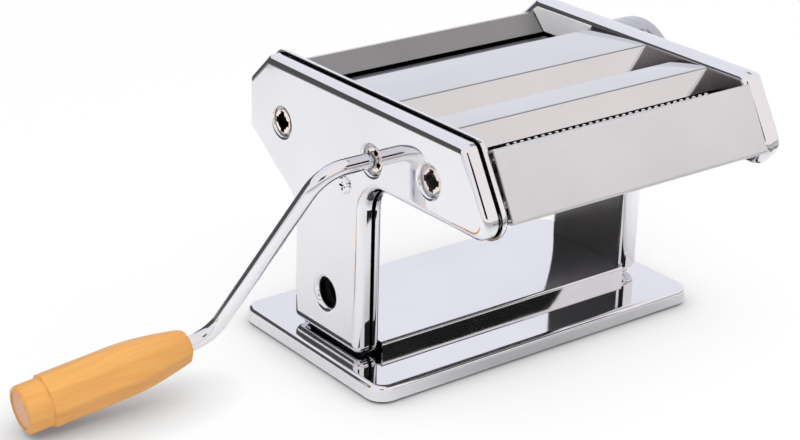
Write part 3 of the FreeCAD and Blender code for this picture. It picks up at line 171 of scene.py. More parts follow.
def new_finish(name, colour, metallic, roughness):
    """A material with its shader, and its node tree to add to."""
    made = bpy.data.materials.new(name)
    made.use_nodes = True
    shader = made.node_tree.nodes["Principled BSDF"]
    shader.inputs["Base Color"].default_value = (*colour, 1)
    shader.inputs["Metallic"].default_value = metallic
    shader.inputs["Roughness"].default_value = roughness
    return made, made.node_tree, shader


def grain(tree, scale, stretch=(1, 1, 1), detail=3.0):
    """Noise on the piece's own coordinates, stretched by the three factors; gives 0 to 1."""
    place = tree.nodes.new("ShaderNodeTexCoord")
    mapping = tree.nodes.new("ShaderNodeMapping")
    mapping.inputs["Scale"].default_value = stretch
    noise = tree.nodes.new("ShaderNodeTexNoise")
    noise.inputs["Scale"].default_value = scale
    noise.inputs["Detail"].default_value = detail
    tree.links.new(place.outputs["Object"], mapping.inputs["Vector"])
    tree.links.new(mapping.outputs["Vector"], noise.inputs["Vector"])
    return noise.outputs["Fac"]


def spread(tree, value, low, high):
    """Noise carried to the range low to high, from the range that it mostly keeps to."""
    ramp = tree.nodes.new("ShaderNodeMapRange")
    ramp.inputs["From Min"].default_value = NOISE_LOW
    ramp.inputs["From Max"].default_value = NOISE_HIGH
    ramp.inputs["To Min"].default_value = low
    ramp.inputs["To Max"].default_value = high
    tree.links.new(value, ramp.inputs["Value"])
    return ramp.outputs["Result"]


def tint(tree, shader, value, one, other, socket="Base Color"):
    """A colour between two colours by a 0 to 1 value, for the base colour or another socket."""
    mix = tree.nodes.new("ShaderNodeMix")
    mix.data_type = "RGBA"
    mix.inputs["A"].default_value = (*one, 1)
    mix.inputs["B"].default_value = (*other, 1)
    tree.links.new(value, mix.inputs["Factor"])
    tree.links.new(mix.outputs["Result"], shader.inputs[socket])


def relief(tree, shader, value, depth):
    """A bump of the given depth from a 0 to 1 value."""
    bump = tree.nodes.new("ShaderNodeBump")
    bump.inputs["Strength"].default_value = 1.0
    bump.inputs["Distance"].default_value = depth
    tree.links.new(value, bump.inputs["Height"])
    tree.links.new(bump.outputs["Normal"], shader.inputs["Normal"])


def polished(name, bright, soft):
    """Chromed sheet: a mirror with the faint waves of pressed metal and a little haze from wiping."""
    made, tree, shader = new_finish(name, bright, metallic=1.0, roughness=0.05)
    haze = grain(tree, scale=70.0)
    tree.links.new(spread(tree, haze, low=0.03, high=0.075), shader.inputs["Roughness"])
    wave = grain(tree, scale=22.0, detail=1.0)
    tint(tree, shader, spread(tree, wave, low=0.0, high=1.0), bright, soft)
    relief(tree, shader, wave, depth=0.06 * MM)
    return made


chrome = polished("polished_steel", CHROME_BRIGHT, CHROME_SOFT)
stand_low, stand_high = (np.array(corner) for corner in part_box("base_plate"))
x0, y0, x1, y1 = *stand_low[:2], *stand_high[:2]
loop, out = bends([(x0, y0), (x1, y0), (x1, y1), (x0, y1)], STAND_CORNER, EDGE_STEPS, True)
stand = pan(loop, out, STAND_EDGE, stand_low[2], stand_high[2])
make_piece("stand_pan", stand, chrome, "frame", ["base_plate"])

# Foot pads: four round buttons moulded in black rubber and pressed up into the stand's corners, so that it
# does not slip on the table.

FOOT_RADIUS = 9.0 * MM
FOOT_ROUND = 1.2 * MM
FOOT_STEPS = 4
ROUND_SEGMENTS = 48


def turned(profile, centre, axis=0, segments=ROUND_SEGMENTS):
    """A turned surface: each point of the profile, given as place along the axis and radius, carried
    round a circle about the axis through the centre."""
    along, radius = np.asarray(profile, float).T
    angle = np.linspace(0, 2 * math.pi, segments, endpoint=False)
    ring = np.stack([radius[:, None] * np.cos(angle), radius[:, None] * np.sin(angle)], -1)
    points = np.empty((len(along), segments, 3))
    points[..., axis] = along[:, None]
    points[..., [(axis + 1) % 3, (axis + 2) % 3]] = ring
    points += np.asarray(centre, float)
    return points, grid_faces(len(along), segments)


def rubber():
    """Moulded black rubber: matte, with a fine grain."""
    made, tree, shader = new_finish("foot_rubber", (0.03, 0.03, 0.032), metallic=0.0, roughness=0.7)
    speck = grain(tree, scale=900.0)
    tree.links.new(spread(tree, speck, low=0.6, high=0.85), shader.inputs["Roughness"])
    relief(tree, shader, speck, depth=0.05 * MM)
    return made


foot_low, foot_high = (np.array(corner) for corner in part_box("base_feet"))
inset, fall = quarter(FOOT_ROUND, FOOT_STEPS)
profile = [(foot_low[2], 0.0)]
profile += list(zip(foot_low[2] + fall[::-1], FOOT_RADIUS - inset[::-1]))
profile += [(foot_high[2], FOOT_RADIUS), (foot_high[2], 0.0)]
pads = []
for x in (foot_low[0] + FOOT_RADIUS, foot_high[0] - FOOT_RADIUS):
    for y in (foot_low[1] + FOOT_RADIUS, foot_high[1] - FOOT_RADIUS):
        pads.append(turned(profile, (x, y, 0), 2))
make_piece("foot_pads", pads, rubber(), "frame", ["base_feet"])

# Raised floor between the legs: a channel folded from the same chromed sheet and laid on the stand.
# It runs from wall to wall between the legs.

BEND = 1.4 * MM
BEND_STEPS = 6


def folded(corners, x0, x1, bend=BEND):
    """A folded sheet: a path of straight runs and bends in Y and Z and the same path moved in by the
    sheet's thickness, carried along X and closed at both ends."""
    path, normal = bends(corners, bend, BEND_STEPS, False)
    section = np.concatenate([path, (path - normal * SHEET)[::-1]])
    points = np.empty((2, len(section), 3))
    points[..., 0] = np.array([x0, x1])[:, None]
    points[..., 1:] = section
    cap = fill([section])
    return [(points, grid_faces(2, len(section))), (points[0], cap), (points[1], cap)]


floor_low, floor_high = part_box("cross_channel")
section = [(floor_high.y, floor_low.z), (floor_high.y, floor_high.z)]
section += [(floor_low.y, floor_high.z), (floor_low.y, floor_low.z)]
channel = folded(section, floor_low.x, floor_high.x)
make_piece("raised_floor", channel, chrome, "frame", ["cross_channel"])

# Inner shells: shallow pressed pans that face the rollers, one on each side wall, with a hole for every
# shaft. Their rims are chromed like the covers, and the flat inner face is satin with a dark grey colour
# that is painted shade for the dark reflections between the walls.

SIDE_CORNERS = [
    (-97.5, 138.0, 5.0), (-121.0, 98.0, 9.0), (-26.5, 98.0, 15.0), (-26.5, 10.4, 4.6), (26.5, 10.4, 4.6),
    (26.5, 71.7, 15.0), (65.0, 97.4, 5.0), (65.0, 123.0, 5.0), (49.0, 138.0, 5.0),
]
CORNER_STEPS = 12
SHELL_GROWTH = 1.3 * MM
SHELL_ROUND = 4.2 * MM
HOLE_SEGMENTS = 40
DRIVE_JOURNAL = 6.0 * MM
PLAIN_JOURNAL = 4.6 * MM
JOURNALS = {"left": DRIVE_JOURNAL, "right": PLAIN_JOURNAL}
SHAFT_ROOM = 0.8 * MM
TIE_ROD = 3.5 * MM
ROD_SCREW_HEAD = 4.2 * MM
BAR_RADIUS = 3.0 * MM
GAP_TRAVEL = 2.2 * MM
FACE_ON = 0.99
SATIN_ROUGHNESS = 0.22
side_corners = np.array(SIDE_CORNERS) * MM
wall_loop, wall_out = bends(side_corners[:, :2], side_corners[:, 2], CORNER_STEPS, True)


def axis_of(node):
    """Y and Z of a turned piece's axis: the middle of its box."""
    low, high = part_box(node)
    return np.array([(low.y + high.y) / 2, (low.z + high.z) / 2])


def hole(centre, radius, segments=HOLE_SEGMENTS):
    """Points round a circle in the plane of a wall."""
    angle = np.linspace(0, 2 * math.pi, segments, endpoint=False)
    return np.asarray(centre) + radius * np.stack([np.cos(angle), np.sin(angle)], 1)


def at_depth(loop, depth):
    """A loop of a wall's plane with a depth behind its outer face."""
    return np.column_stack([loop, np.full(len(loop), depth)])


def through(loop):
    """The rings of a plain hole through the sheet."""
    return np.stack([at_depth(loop, 0), at_depth(loop, SHEET)])


def stand_up(patches):
    """Patches given as Y, Z and a place along X, put in X, Y, Z order."""
    return [(np.roll(points, 1, -1), faces) for points, faces in patches]


def tie_rod_axes():
    """Y and Z of the three tie rods: those of the screws in their ends and of the cover's screw."""
    low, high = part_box("tie_rod_screws")
    front = (low.y + ROD_SCREW_HEAD, high.z - ROD_SCREW_HEAD)
    back = (high.y - ROD_SCREW_HEAD, low.z + ROD_SCREW_HEAD)
    return [axis_of("cover_screws"), front, back]


def shell_finish_with_painted_shade():
    """Chromed sheet whose flat inner face, marked by an attribute, is satin with a painted shade of dark grey.
    """
    made = polished("shell_steel_painted_shade", CHROME_BRIGHT, CHROME_SOFT)
    tree = made.node_tree
    shader = tree.nodes["Principled BSDF"]
    mark = tree.nodes.new("ShaderNodeAttribute")
    mark.attribute_name = "inner_face"
    plated = shader.inputs["Base Color"].links[0].from_socket
    haze = shader.inputs["Roughness"].links[0].from_socket
    face = tree.nodes.new("ShaderNodeMix")
    face.data_type = "RGBA"
    blotch = grain(tree, scale=40.0)
    # Painted shade: the inner face's dark grey colours, mottled by blotches.
    tint(tree, face, spread(tree, blotch, low=0, high=1), (0.31, 0.29, 0.295), (0.26, 0.245, 0.25), "B")
    satin_face = tree.nodes.new("ShaderNodeMix")
    satin_face.inputs["B"].default_value = SATIN_ROUGHNESS
    tree.links.new(mark.outputs["Fac"], face.inputs["Factor"])
    tree.links.new(plated, face.inputs["A"])
    tree.links.new(face.outputs["Result"], shader.inputs["Base Color"])
    tree.links.new(mark.outputs["Fac"], satin_face.inputs["Factor"])
    tree.links.new(haze, satin_face.inputs["A"])
    tree.links.new(satin_face.outputs["Result"], shader.inputs["Roughness"])
    return made


shell_steel_painted_shade = shell_finish_with_painted_shade()
drive_axes = [axis_of(f"{kind}_drive_roller") for kind in ("sheeter", "wide", "thin")]
idle_axes = [axis_of(f"{kind}_idle_roller") for kind in ("wide", "thin")]
rim_loop = wall_loop + wall_out * SHELL_GROWTH
for name, faces_right in (("left", True), ("right", False)):
    low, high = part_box(f"{name}_inner_shell")
    open_x, face_x = (low.x, high.x) if faces_right else (high.x, low.x)
    holes = [hole(at, JOURNALS[name] + SHAFT_ROOM) for at in drive_axes]
    holes += [hole(at, PLAIN_JOURNAL + SHAFT_ROOM) for at in idle_axes]
    holes += [hole(at, TIE_ROD) for at in tie_rod_axes()]
    for at, room in ((axis_of("sheeter_idle_roller"), PLAIN_JOURNAL), (axis_of("carriage_bar"), BAR_RADIUS)):
        ring = hole(at, room + SHAFT_ROOM)
        holes.append(np.where(ring[:, :1] > at[0], ring + (GAP_TRAVEL, 0), ring))
    patches = pan(rim_loop, wall_out, SHELL_ROUND, open_x, face_x, map(through, holes))
    shell = make_piece(f"{name}_shell", stand_up(patches), shell_steel_painted_shade, "frame",
                       [f"{name}_inner_shell"])
    normals = np.empty(len(shell.data.polygons) * 3, np.float32)
    shell.data.polygons.foreach_get("normal", normals)
    mark = shell.data.attributes.new("inner_face", "FLOAT", "FACE")
    mark.data.foreach_set("value", (abs(normals.reshape(-1, 3)[:, 0]) > FACE_ON).astype(np.float32))

# Frame plates: the dark painted plates between the two shells of each wall. They carry the bushes, are screwed
# to the stand by a foot under the raised floor, and show only as the thin dark seam round each wall.


def painted_plate():
    """Dark paint on sheet steel: low gloss with a faint orange peel."""
    made, tree, shader = new_finish("dark_plate", (0.02, 0.02, 0.022), metallic=0.0, roughness=0.45)
    peel = grain(tree, scale=420.0)
    tree.links.new(spread(tree, peel, low=0.38, high=0.55), shader.inputs["Roughness"])
    relief(tree, shader, peel, depth=0.02 * MM)
    return made


def dress(finish, *names):
    """The same finish on CAD pieces that keep their own shape."""
    for name in names:
        mesh = nodes[name].data
        mesh.materials.clear()
        mesh.materials.append(finish)


dress(painted_plate(), "left_frame_plate", "right_frame_plate")

# Outer covers: the polished pans that close each wall. The left one has rolled holes for the crank's
# three sockets and for a table clamp; the right one lets the dial's shaft out.

COVER_ROUND = 4.2 * MM
HOLE_RADIUS = 7.3 * MM
SOCKET_ROLL = 1.6 * MM
CLAMP_ROLL = 2.9 * MM
HOLE_DEPTH = 4.6 * MM
ROLL_STEPS = 8
SCREW_HOLE = 1.6 * MM
DIAL_HOLE = 5.9 * MM
CLAMP_AT = np.array([0.0, 33.3]) * MM


def rolled(at, rounding):
    """The rings of a hole with a rolled edge: over a quarter round into the collar, down it, round its
    end and back up behind it."""
    roll, fall = quarter(rounding, ROLL_STEPS)
    mouth = HOLE_RADIUS + rounding + FLAT_RIM
    behind = HOLE_RADIUS + SHEET
    radius = np.concatenate([[mouth], HOLE_RADIUS + roll[::-1], [HOLE_RADIUS, behind, behind, mouth]])
    depth = np.concatenate([[0], fall[::-1], [HOLE_DEPTH, HOLE_DEPTH, rounding + SHEET, SHEET]])
    return np.stack([at_depth(hole(at, r), d) for r, d in zip(radius, depth)])


screw_hole = through(hole(axis_of("cover_screws"), SCREW_HOLE))
low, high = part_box("left_cover")
holes = [screw_hole, rolled(CLAMP_AT, CLAMP_ROLL)] + [rolled(at, SOCKET_ROLL) for at in drive_axes]
cover = pan(wall_loop, wall_out, COVER_ROUND, high.x, low.x, holes)
make_piece("left_wall_cover", stand_up(cover), chrome, "frame", ["left_cover"])
low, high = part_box("right_cover")
holes = [screw_hole, through(hole(axis_of("dial_bush"), DIAL_HOLE))]
cover = pan(wall_loop, wall_out, COVER_ROUND, low.x, high.x, holes)
make_piece("right_wall_cover", stand_up(cover), chrome, "frame", ["right_cover"])

# Screws, tie rods and the other plain steel fittings: turned or cold-headed, zinc plated, fixed where
# they hold the walls apart and the stand on.


def zinc():
    """Zinc-plated steel: half bright, with the fine marks of turning."""
    made, tree, shader = new_finish("plain_steel", (0.55, 0.55, 0.57), metallic=1.0, roughness=0.3)
    marks = grain(tree, scale=160.0, stretch=(30, 1, 1))
    tree.links.new(spread(tree, marks, low=0.2, high=0.42), shader.inputs["Roughness"])
    tint(tree, shader, spread(tree, marks, low=0, high=1), (0.52, 0.52, 0.54), (0.62, 0.62, 0.64))
    relief(tree, shader, marks, depth=0.01 * MM)
    return made


plain_steel = zinc()
dress(plain_steel, "tie_rods", "tie_rod_screws", "base_screws")
dress(chrome, "cover_screws")

# Sheets over the rollers: the hopper plate and its rear panel, two covers with slanted guides, and the
# front panel, all folded from sheet and hung between the walls.

BRUSH = (14.0, 2200.0, 2200.0)


def brushed(name, light, dark, metallic, low, high):
    """Satin steel: fine straight brushing along the rollers, and soft blotches left by handling."""
    made, tree, shader = new_finish(name, light, metallic=metallic, roughness=low)
    lines = grain(tree, scale=1.0, stretch=BRUSH, detail=4.0)
    blotch = grain(tree, scale=26.0, detail=2.0)
    tree.links.new(spread(tree, lines, low=low, high=high), shader.inputs["Roughness"])
    tint(tree, shader, spread(tree, blotch, low=0, high=1), light, dark)
    relief(tree, shader, lines, depth=0.004 * MM)
    return made


satin = brushed("satin_steel", (0.61, 0.605, 0.615), (0.575, 0.57, 0.58), 0.6, 0.30, 0.40)
# The shaded copy is the same brushed steel darkened as painted shade, for the hopper plate, scraper and combs.
shaded = brushed("shaded_steel", (0.33, 0.33, 0.33), (0.31, 0.31, 0.31), 1.0, 0.35, 0.45)
sheet_chrome = polished("sheet_steel", (0.70, 0.70, 0.71), (0.67, 0.67, 0.68))
COVER_BENDS = np.array([0.0, 0.6, 2.6, 0.0]) * MM
SHEETS = {
    "first_top_cover": ([(11.6, 126.2), (4.6, 134.4), (-32.9, 136.0), (-38.5, 126.2)], COVER_BENDS),
    "second_top_cover": ([(-48.8, 126.2), (-55.8, 134.4), (-74.3, 136.0), (-79.9, 126.2)], COVER_BENDS),
    "rear_panel": ([(55.4, 97.5), (63.4, 97.5), (63.4, 119.4), (50.7, 131.6)], BEND),
    "front_panel": ([(-89.6, 126.2), (-101.3, 135.6), (-117.4, 105.8), (-112.4, 105.0)], BEND),
}
for name, (corners, bend) in SHEETS.items():
    low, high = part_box(name)
    finish, slot = (satin, "satin_steel") if name == "front_panel" else (sheet_chrome, "polished_steel")
    sheet = folded(np.array(corners) * MM, low.x, high.x, bend)
    make_piece(name + "_sheet", sheet, finish, "frame", [name])
dress(shaded, "hopper_plate", "rear_scraper")

# Sheet rollers: two ground alloy rollers, near black in colour as painted shade, with steel gears at their
# left ends. The rear one is driven, and its left journal is a socket: a round bore with four slots for the
# crank's cross pin.

SOCKET_BORE = 3.95 * MM
SLOT_HALF = 1.45 * MM
SLOT_REACH = 5.2 * MM
SLOT_DEPTH = 5.4 * MM
BORE_DEPTH = 13.4 * MM
BORE_LIP = 0.05 * MM
MOUTH_ROUND = 0.4 * MM
MOUTH_FROM = 87.5 * MM
MOUTH_PLATING = (0.90, 0.80, 0.74)
SLOT_ARC_POINTS = 6
ROLLER_HALF = 75.0 * MM
ROLLER_EDGE = 0.6 * MM


def pale_end(tree, shader):
    """The pale plating of a socket's mouth: the colour left of a line is the plating's."""
    colour = shader.inputs["Base Color"].links[0].from_socket
    place = tree.nodes.new("ShaderNodeTexCoord")
    split = tree.nodes.new("ShaderNodeSeparateXYZ")
    mouth = tree.nodes.new("ShaderNodeMath")
    mouth.operation = "LESS_THAN"
    mouth.inputs[1].default_value = -MOUTH_FROM
    plate = tree.nodes.new("ShaderNodeMix")
    plate.data_type = "RGBA"
    plate.inputs["B"].default_value = (*MOUTH_PLATING, 1)
    tree.links.new(place.outputs["Object"], split.inputs["Vector"])
    tree.links.new(split.outputs["X"], mouth.inputs[0])
    tree.links.new(mouth.outputs["Value"], plate.inputs["Factor"])
    tree.links.new(colour, plate.inputs["A"])
    tree.links.new(plate.outputs["Result"], shader.inputs["Base Color"])


def roller_finish_with_painted_shade():
    """Ground alloy, near black as painted shade: smooth, with faint rings round the roller."""
    # Painted shade: the near-black base colour stands for the dark slot that the roller turns in.
    made, tree, shader = new_finish("roller_alloy", (0.16, 0.16, 0.17), metallic=1.0, roughness=0.14)
    rings = grain(tree, scale=1.0, stretch=(900, 8, 8))
    tree.links.new(spread(tree, rings, low=0.10, high=0.18), shader.inputs["Roughness"])
    tint(tree, shader, spread(tree, rings, low=0, high=1), (0.15, 0.15, 0.16), (0.18, 0.18, 0.19))
    pale_end(tree, shader)
    return made


def socket_outline():
    """A circle with four slots: an arc from slot to slot, then the slot's two outer corners."""
    edge = math.asin(SLOT_HALF / SOCKET_BORE)
    angle = np.linspace(edge, math.pi / 2 - edge, SLOT_ARC_POINTS)
    arc = SOCKET_BORE * np.stack([np.cos(angle), np.sin(angle)], 1)
    one = np.concatenate([arc, [[SLOT_HALF, SLOT_REACH], [-SLOT_HALF, SLOT_REACH]]])
    quarter_turn = np.array([[0, 1], [-1, 0]])
    return np.concatenate([one @ np.linalg.matrix_power(quarter_turn, k) for k in range(4)])


def roller_patches(profile, at, socket_turn=None):
    """A roller turned about its axis; a driven one has a socket in its left end."""
    centre = (0, *at)
    patches = [turned(profile, centre)]
    end = profile[0][0]
    if socket_turn is None:
        patches.append(turned([(end, 0.0), profile[0]], centre))
    else:
        c, s = math.cos(socket_turn), math.sin(socket_turn)
        slots = socket_outline() @ np.array([[c, s], [-s, c]]) + at
        rim = hole(at, profile[0][1], ROUND_SEGMENTS)
        bore = hole(at, SOCKET_BORE - BORE_LIP)
        sunk, deep = end + SLOT_DEPTH, end + BORE_DEPTH
        inside = [(np.concatenate([at_depth(rim, end), at_depth(slots, end)]), fill([rim, slots]))]
        inside.append((np.concatenate([at_depth(slots, sunk), at_depth(bore, sunk)]), fill([slots, bore])))
        inside.append((at_depth(bore, deep), fill([bore])))
        for loop, start, stop in ((slots, end, sunk), (bore, sunk, deep)):
            inside.append((np.stack([at_depth(loop, start), at_depth(loop, stop)]), grid_faces(2, len(loop))))
        patches += stand_up(inside)
    patches.append(turned([profile[-1], (profile[-1][0], 0.0)], centre))
    return patches


alloy = roller_finish_with_painted_shade()
for kind, journal in (("drive", DRIVE_JOURNAL), ("idle", PLAIN_JOURNAL)):
    node = f"sheeter_{kind}_roller"
    low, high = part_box(node)
    radius = (high.z - low.z) / 2
    full = ROLLER_HALF - ROLLER_EDGE
    profile = [(low.x, journal - MOUTH_ROUND), (low.x + MOUTH_ROUND, journal), (-ROLLER_HALF, journal)]
    profile += [(-ROLLER_HALF, radius - ROLLER_EDGE), (-full, radius), (full, radius)]
    profile += [(ROLLER_HALF, radius - ROLLER_EDGE), (ROLLER_HALF, PLAIN_JOURNAL), (high.x, PLAIN_JOURNAL)]
    turn = 0.0 if kind == "drive" else None
    roller = roller_patches(profile, axis_of(node), turn)
    make_piece(f"sheet_roller_{kind}", roller, alloy, f"sheeter_{kind}", [node])
dress(plain_steel, "sheeter_drive_gear", "sheeter_idle_gear")

# Bushes: moulded nylon sleeves that the shafts turn in, pressed into the walls. The dial's shaft has one of
# its own in the right wall.


def nylon():
    """Natural nylon: waxy and off-white."""
    made, tree, shader = new_finish("bush_nylon", (0.80, 0.78, 0.70), metallic=0.0, roughness=0.5)
    speck = grain(tree, scale=600.0)
    tree.links.new(spread(tree, speck, low=0.4, high=0.6), shader.inputs["Roughness"])
    return made


bush_nylon = nylon()
dress(bush_nylon, "sheeter_bushes", "wide_cutter_bushes", "thin_cutter_bushes", "dial_bush")

# Hopper guards: a thin white nylon plate on each wall between the hopper plate and the first cover, which
# keeps the dough off the wall. Cut from sheet and pressed onto the inner shell.

GUARD_CORNERS = np.array([
    (12.8, 123.5), (40.4, 123.5), (49.6, 132.8), (47.0, 135.0), (5.4, 135.2), (12.8, 126.6),
]) * MM
GUARD_ROUND = 0.6 * MM
GUARD_STEPS = 5
GUARD = 0.7 * MM


def guard_nylon():
    """White nylon sheet: waxy, with a faint mottle."""
    made, tree, shader = new_finish("guard_nylon", (0.92, 0.92, 0.93), metallic=0.0, roughness=0.4)
    mottle = grain(tree, scale=120.0)
    tint(tree, shader, spread(tree, mottle, low=0, high=1), (0.97, 0.97, 0.98), (0.94, 0.94, 0.96))
    tree.links.new(spread(tree, mottle, low=0.35, high=0.5), shader.inputs["Roughness"])
    return made


white_nylon = guard_nylon()
guard_loop = bends(GUARD_CORNERS, GUARD_ROUND, GUARD_STEPS, True)[0]
for name, way in (("left", -1), ("right", 1)):
    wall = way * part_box("hopper_plate")[1].x
    edges = [at_depth(guard_loop, wall - way * depth) for depth in (0, GUARD)]
    patches = [(np.stack(edges), grid_faces(2, len(guard_loop)))]
    patches += [(edge, fill([guard_loop])) for edge in edges]
    make_piece(f"{name}_hopper_guard", stand_up(patches), white_nylon, "frame", [])

# Cutters: two pairs of steel rollers with discs that mesh like fingers, wide and thin, each with a pair
# of gears and two combs that strip the dough out of the grooves.

CUTTER_RADIUS = 10.0 * MM
CORE_RADIUS = 8.2 * MM
DISC_PLAY = 0.3 * MM
CRANK_TURN = math.radians(24.6)


def turned_steel():
    """Turned and hardened steel: grey, with rings left by the tool and a film of oil."""
    made, tree, shader = new_finish("cutter_steel", (0.40, 0.40, 0.41), metallic=1.0, roughness=0.35)
    rings = grain(tree, scale=1.0, stretch=(1200, 10, 10))
    tree.links.new(spread(tree, rings, low=0.25, high=0.45), shader.inputs["Roughness"])
    tint(tree, shader, spread(tree, rings, low=0, high=1), (0.30, 0.30, 0.31), (0.46, 0.46, 0.47))
    pale_end(tree, shader)
    return made


cutter_steel = turned_steel()
# Disc pitch, discs on the driven roller and on its mate, and the socket's turn at rest.
CUTTERS = {"wide": (13.0 * MM, 11, 12, CRANK_TURN), "thin": (4.0 * MM, 37, 36, 0.0)}
for kind, (pitch, driven_discs, idle_discs, socket_turn) in CUTTERS.items():
    pair = (("drive", driven_discs, DRIVE_JOURNAL), ("idle", idle_discs, PLAIN_JOURNAL))
    for part, discs, journal in pair:
        node = f"{kind}_{part}_roller"
        low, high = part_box(node)
        half = (pitch / 2 - DISC_PLAY) / 2
        middle = (np.arange(discs) - (discs - 1) / 2) * pitch
        along = (middle[:, None] + np.array([-half, -half, half, half])).ravel()
        across = np.tile([CORE_RADIUS, CUTTER_RADIUS, CUTTER_RADIUS, CORE_RADIUS], discs)
        profile = [(low.x, journal - MOUTH_ROUND), (low.x + MOUTH_ROUND, journal), (-ROLLER_HALF, journal)]
        profile += [(-ROLLER_HALF, CORE_RADIUS), *zip(along, across), (ROLLER_HALF, CORE_RADIUS)]
        profile += [(ROLLER_HALF, PLAIN_JOURNAL), (high.x, PLAIN_JOURNAL)]
        turn = socket_turn if part == "drive" else None
        cutter = roller_patches(profile, axis_of(node), turn)
        make_piece(f"{kind}_cutter_{part}", cutter, cutter_steel, f"{kind}_{part}", [node])
    dress(plain_steel, f"{kind}_drive_gear", f"{kind}_idle_gear")
    dress(shaded, f"{kind}_drive_comb", f"{kind}_idle_comb")

# Strip teeth: the fine row that shows over the front panel's upper edge, at the thin cutter's pitch. Pressed
# from bright sheet and fixed along the panel's rear flange.

TOOTH_PITCH = CUTTERS["thin"][0]
TOOTH_COUNT = 31
TOOTH_WIDTH = 2.0 * MM
TOOTH_TIP = 1.3 * MM
TOOTH_FOOT = np.array([-91.6, 127.0]) * MM
TOOTH_DEPTH = 1.0 * MM
TOOTH_HEIGHT = 3.9 * MM
middle = (np.arange(TOOTH_COUNT) - (TOOTH_COUNT - 1) / 2) * TOOTH_PITCH
corner = np.array([
    (-1, 0, 0), (1, 0, 0), (1, 1, 0), (-1, 1, 0), (-1, 0, 1), (1, 0, 1), (1, 1, 1), (-1, 1, 1),
])
half = np.where(corner[:, 2] == 0, TOOTH_WIDTH, TOOTH_TIP) / 2
teeth = np.empty((TOOTH_COUNT, len(corner), 3))
teeth[..., 0] = middle[:, None] + corner[:, 0] * half
teeth[..., 1:] = TOOTH_FOOT + corner[:, 1:] * (TOOTH_DEPTH, TOOTH_HEIGHT)
block = np.array([(0, 1, 2, 3), (4, 5, 6, 7), (0, 1, 5, 4), (1, 2, 6, 5), (2, 3, 7, 6), (3, 0, 4, 7)])
faces = (block + len(corner) * np.arange(TOOTH_COUNT)[:, None, None]).reshape(-1, 4)
make_piece("strip_teeth", [(teeth, faces)], chrome, "frame", [])

# Gap adjuster: two cast bearing blocks, joined by a bar, that slide in the walls. An eccentric on the dial's
# shaft moves them, with an indexed ring and a sprung knob of chromed plastic outside the right wall.


def cast_alloy():
    """Die-cast alloy: grey and slightly rough."""
    made, tree, shader = new_finish("block_alloy", (0.45, 0.45, 0.46), metallic=1.0, roughness=0.5)
    cast = grain(tree, scale=350.0)
    tree.links.new(spread(tree, cast, low=0.42, high=0.62), shader.inputs["Roughness"])
    relief(tree, shader, cast, depth=0.03 * MM)
    return made


dress(cast_alloy(), "left_slide_block", "right_slide_block")
dress(plain_steel, "carriage_bar", "dial_eccentric", "dial_screw", "index_ring", "index_pin")
KNOB_ROUND = 4.0 * MM
KNOB_LIP = 1.2 * MM
KNOB_WALL = 4.5 * MM
KNOB_WEB_AT = 6.0 * MM
KNOB_WEB = 3.5 * MM
HUB_RADIUS = 8.5 * MM
HUB_START = 2.0 * MM
HUB_BORE = 4.4 * MM
SPRING_POCKET = 7.5 * MM
GROOVE = 0.7 * MM
LIP_STEPS = 5
KNOB_SEGMENTS = 72
low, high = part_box("dial_knob")
radius = (high.z - low.z) / 2
round_in, round_fall = quarter(KNOB_ROUND)
lip_in, lip_fall = quarter(KNOB_LIP, LIP_STEPS)
inside = radius - KNOB_WALL
profile = [(HUB_START, HUB_BORE), (HUB_START, HUB_RADIUS), (KNOB_WEB_AT, HUB_RADIUS), (KNOB_WEB_AT, inside)]
profile += [(0, inside), *zip(lip_fall[::-1], radius - lip_in[::-1])]
length = high.x - low.x
profile += [(length / 2 - GROOVE, radius), (length / 2, radius - GROOVE), (length / 2 + GROOVE, radius)]
profile += list(zip(length - round_fall, radius - round_in))
pocket_floor = KNOB_WEB_AT + KNOB_WEB
profile += [(length, SPRING_POCKET), (pocket_floor, SPRING_POCKET), (pocket_floor, HUB_BORE)]
profile.append(profile[0])
knob_chrome = polished("knob_chrome", (0.56, 0.56, 0.58), (0.50, 0.50, 0.52))
shape = turned(profile, (low.x, *axis_of("dial_knob")), segments=KNOB_SEGMENTS)
make_piece("gap_knob", [shape], knob_chrome, "knob", ["dial_knob"])
dress(knob_chrome, "knob_cap")

# Knob spring: a short coil of round steel wire on the dial's shaft, under the knob's cap. It holds the knob
# on its ring, and is pressed together while the knob is pulled.

COIL_WIRE = 0.6 * MM
COIL_TURNS = 3.5
COIL_STEPS = 84
WIRE_SEGMENTS = 12
low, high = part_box("knob_spring")
length = high.x - low.x
coil_y, coil_z = axis_of("knob_spring")
turn = np.linspace(0, 2 * math.pi * COIL_TURNS, COIL_STEPS + 1)[:, None]
angle = np.linspace(0, 2 * math.pi, WIRE_SEGMENTS, endpoint=False)
reach = (high.z - low.z) / 2 - COIL_WIRE + COIL_WIRE * np.cos(angle)
along = low.x + COIL_WIRE + (length - 2 * COIL_WIRE) * turn / turn[-1] + COIL_WIRE * np.sin(angle)
coil_places = (along, coil_y + reach * np.cos(turn), coil_z + reach * np.sin(turn))
wire = np.stack(np.broadcast_arrays(*coil_places), -1)
ends = [(wire[k], np.arange(WIRE_SEGMENTS)[None]) for k in (0, -1)]
coil = [(wire, grid_faces(*wire.shape[:2]))] + ends
spring = make_piece("knob_coil", coil, plain_steel, "dial", ["knob_spring"])
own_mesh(spring)

# Crank: one chromed steel rod, bent twice, with a cross pin that keys into the socket. Its arm hangs
# outwards and back, and its outer end carries the grip.

ROD_RADIUS = 3.75 * MM
ROD_BEND = 17.0 * MM
ROD_INNER = -76.8 * MM
ROD_CORNER = -116.1 * MM
ELBOW_X = -150.5 * MM
ARM_THROW = 94.0 * MM
GRIP_DROOP = math.radians(8.6)
ROD_IN_GRIP = 90.4 * MM
ROD_SEGMENTS = 40
ROD_STEPS = 24
rod_y, rod_z = axis_of("wide_drive_roller")


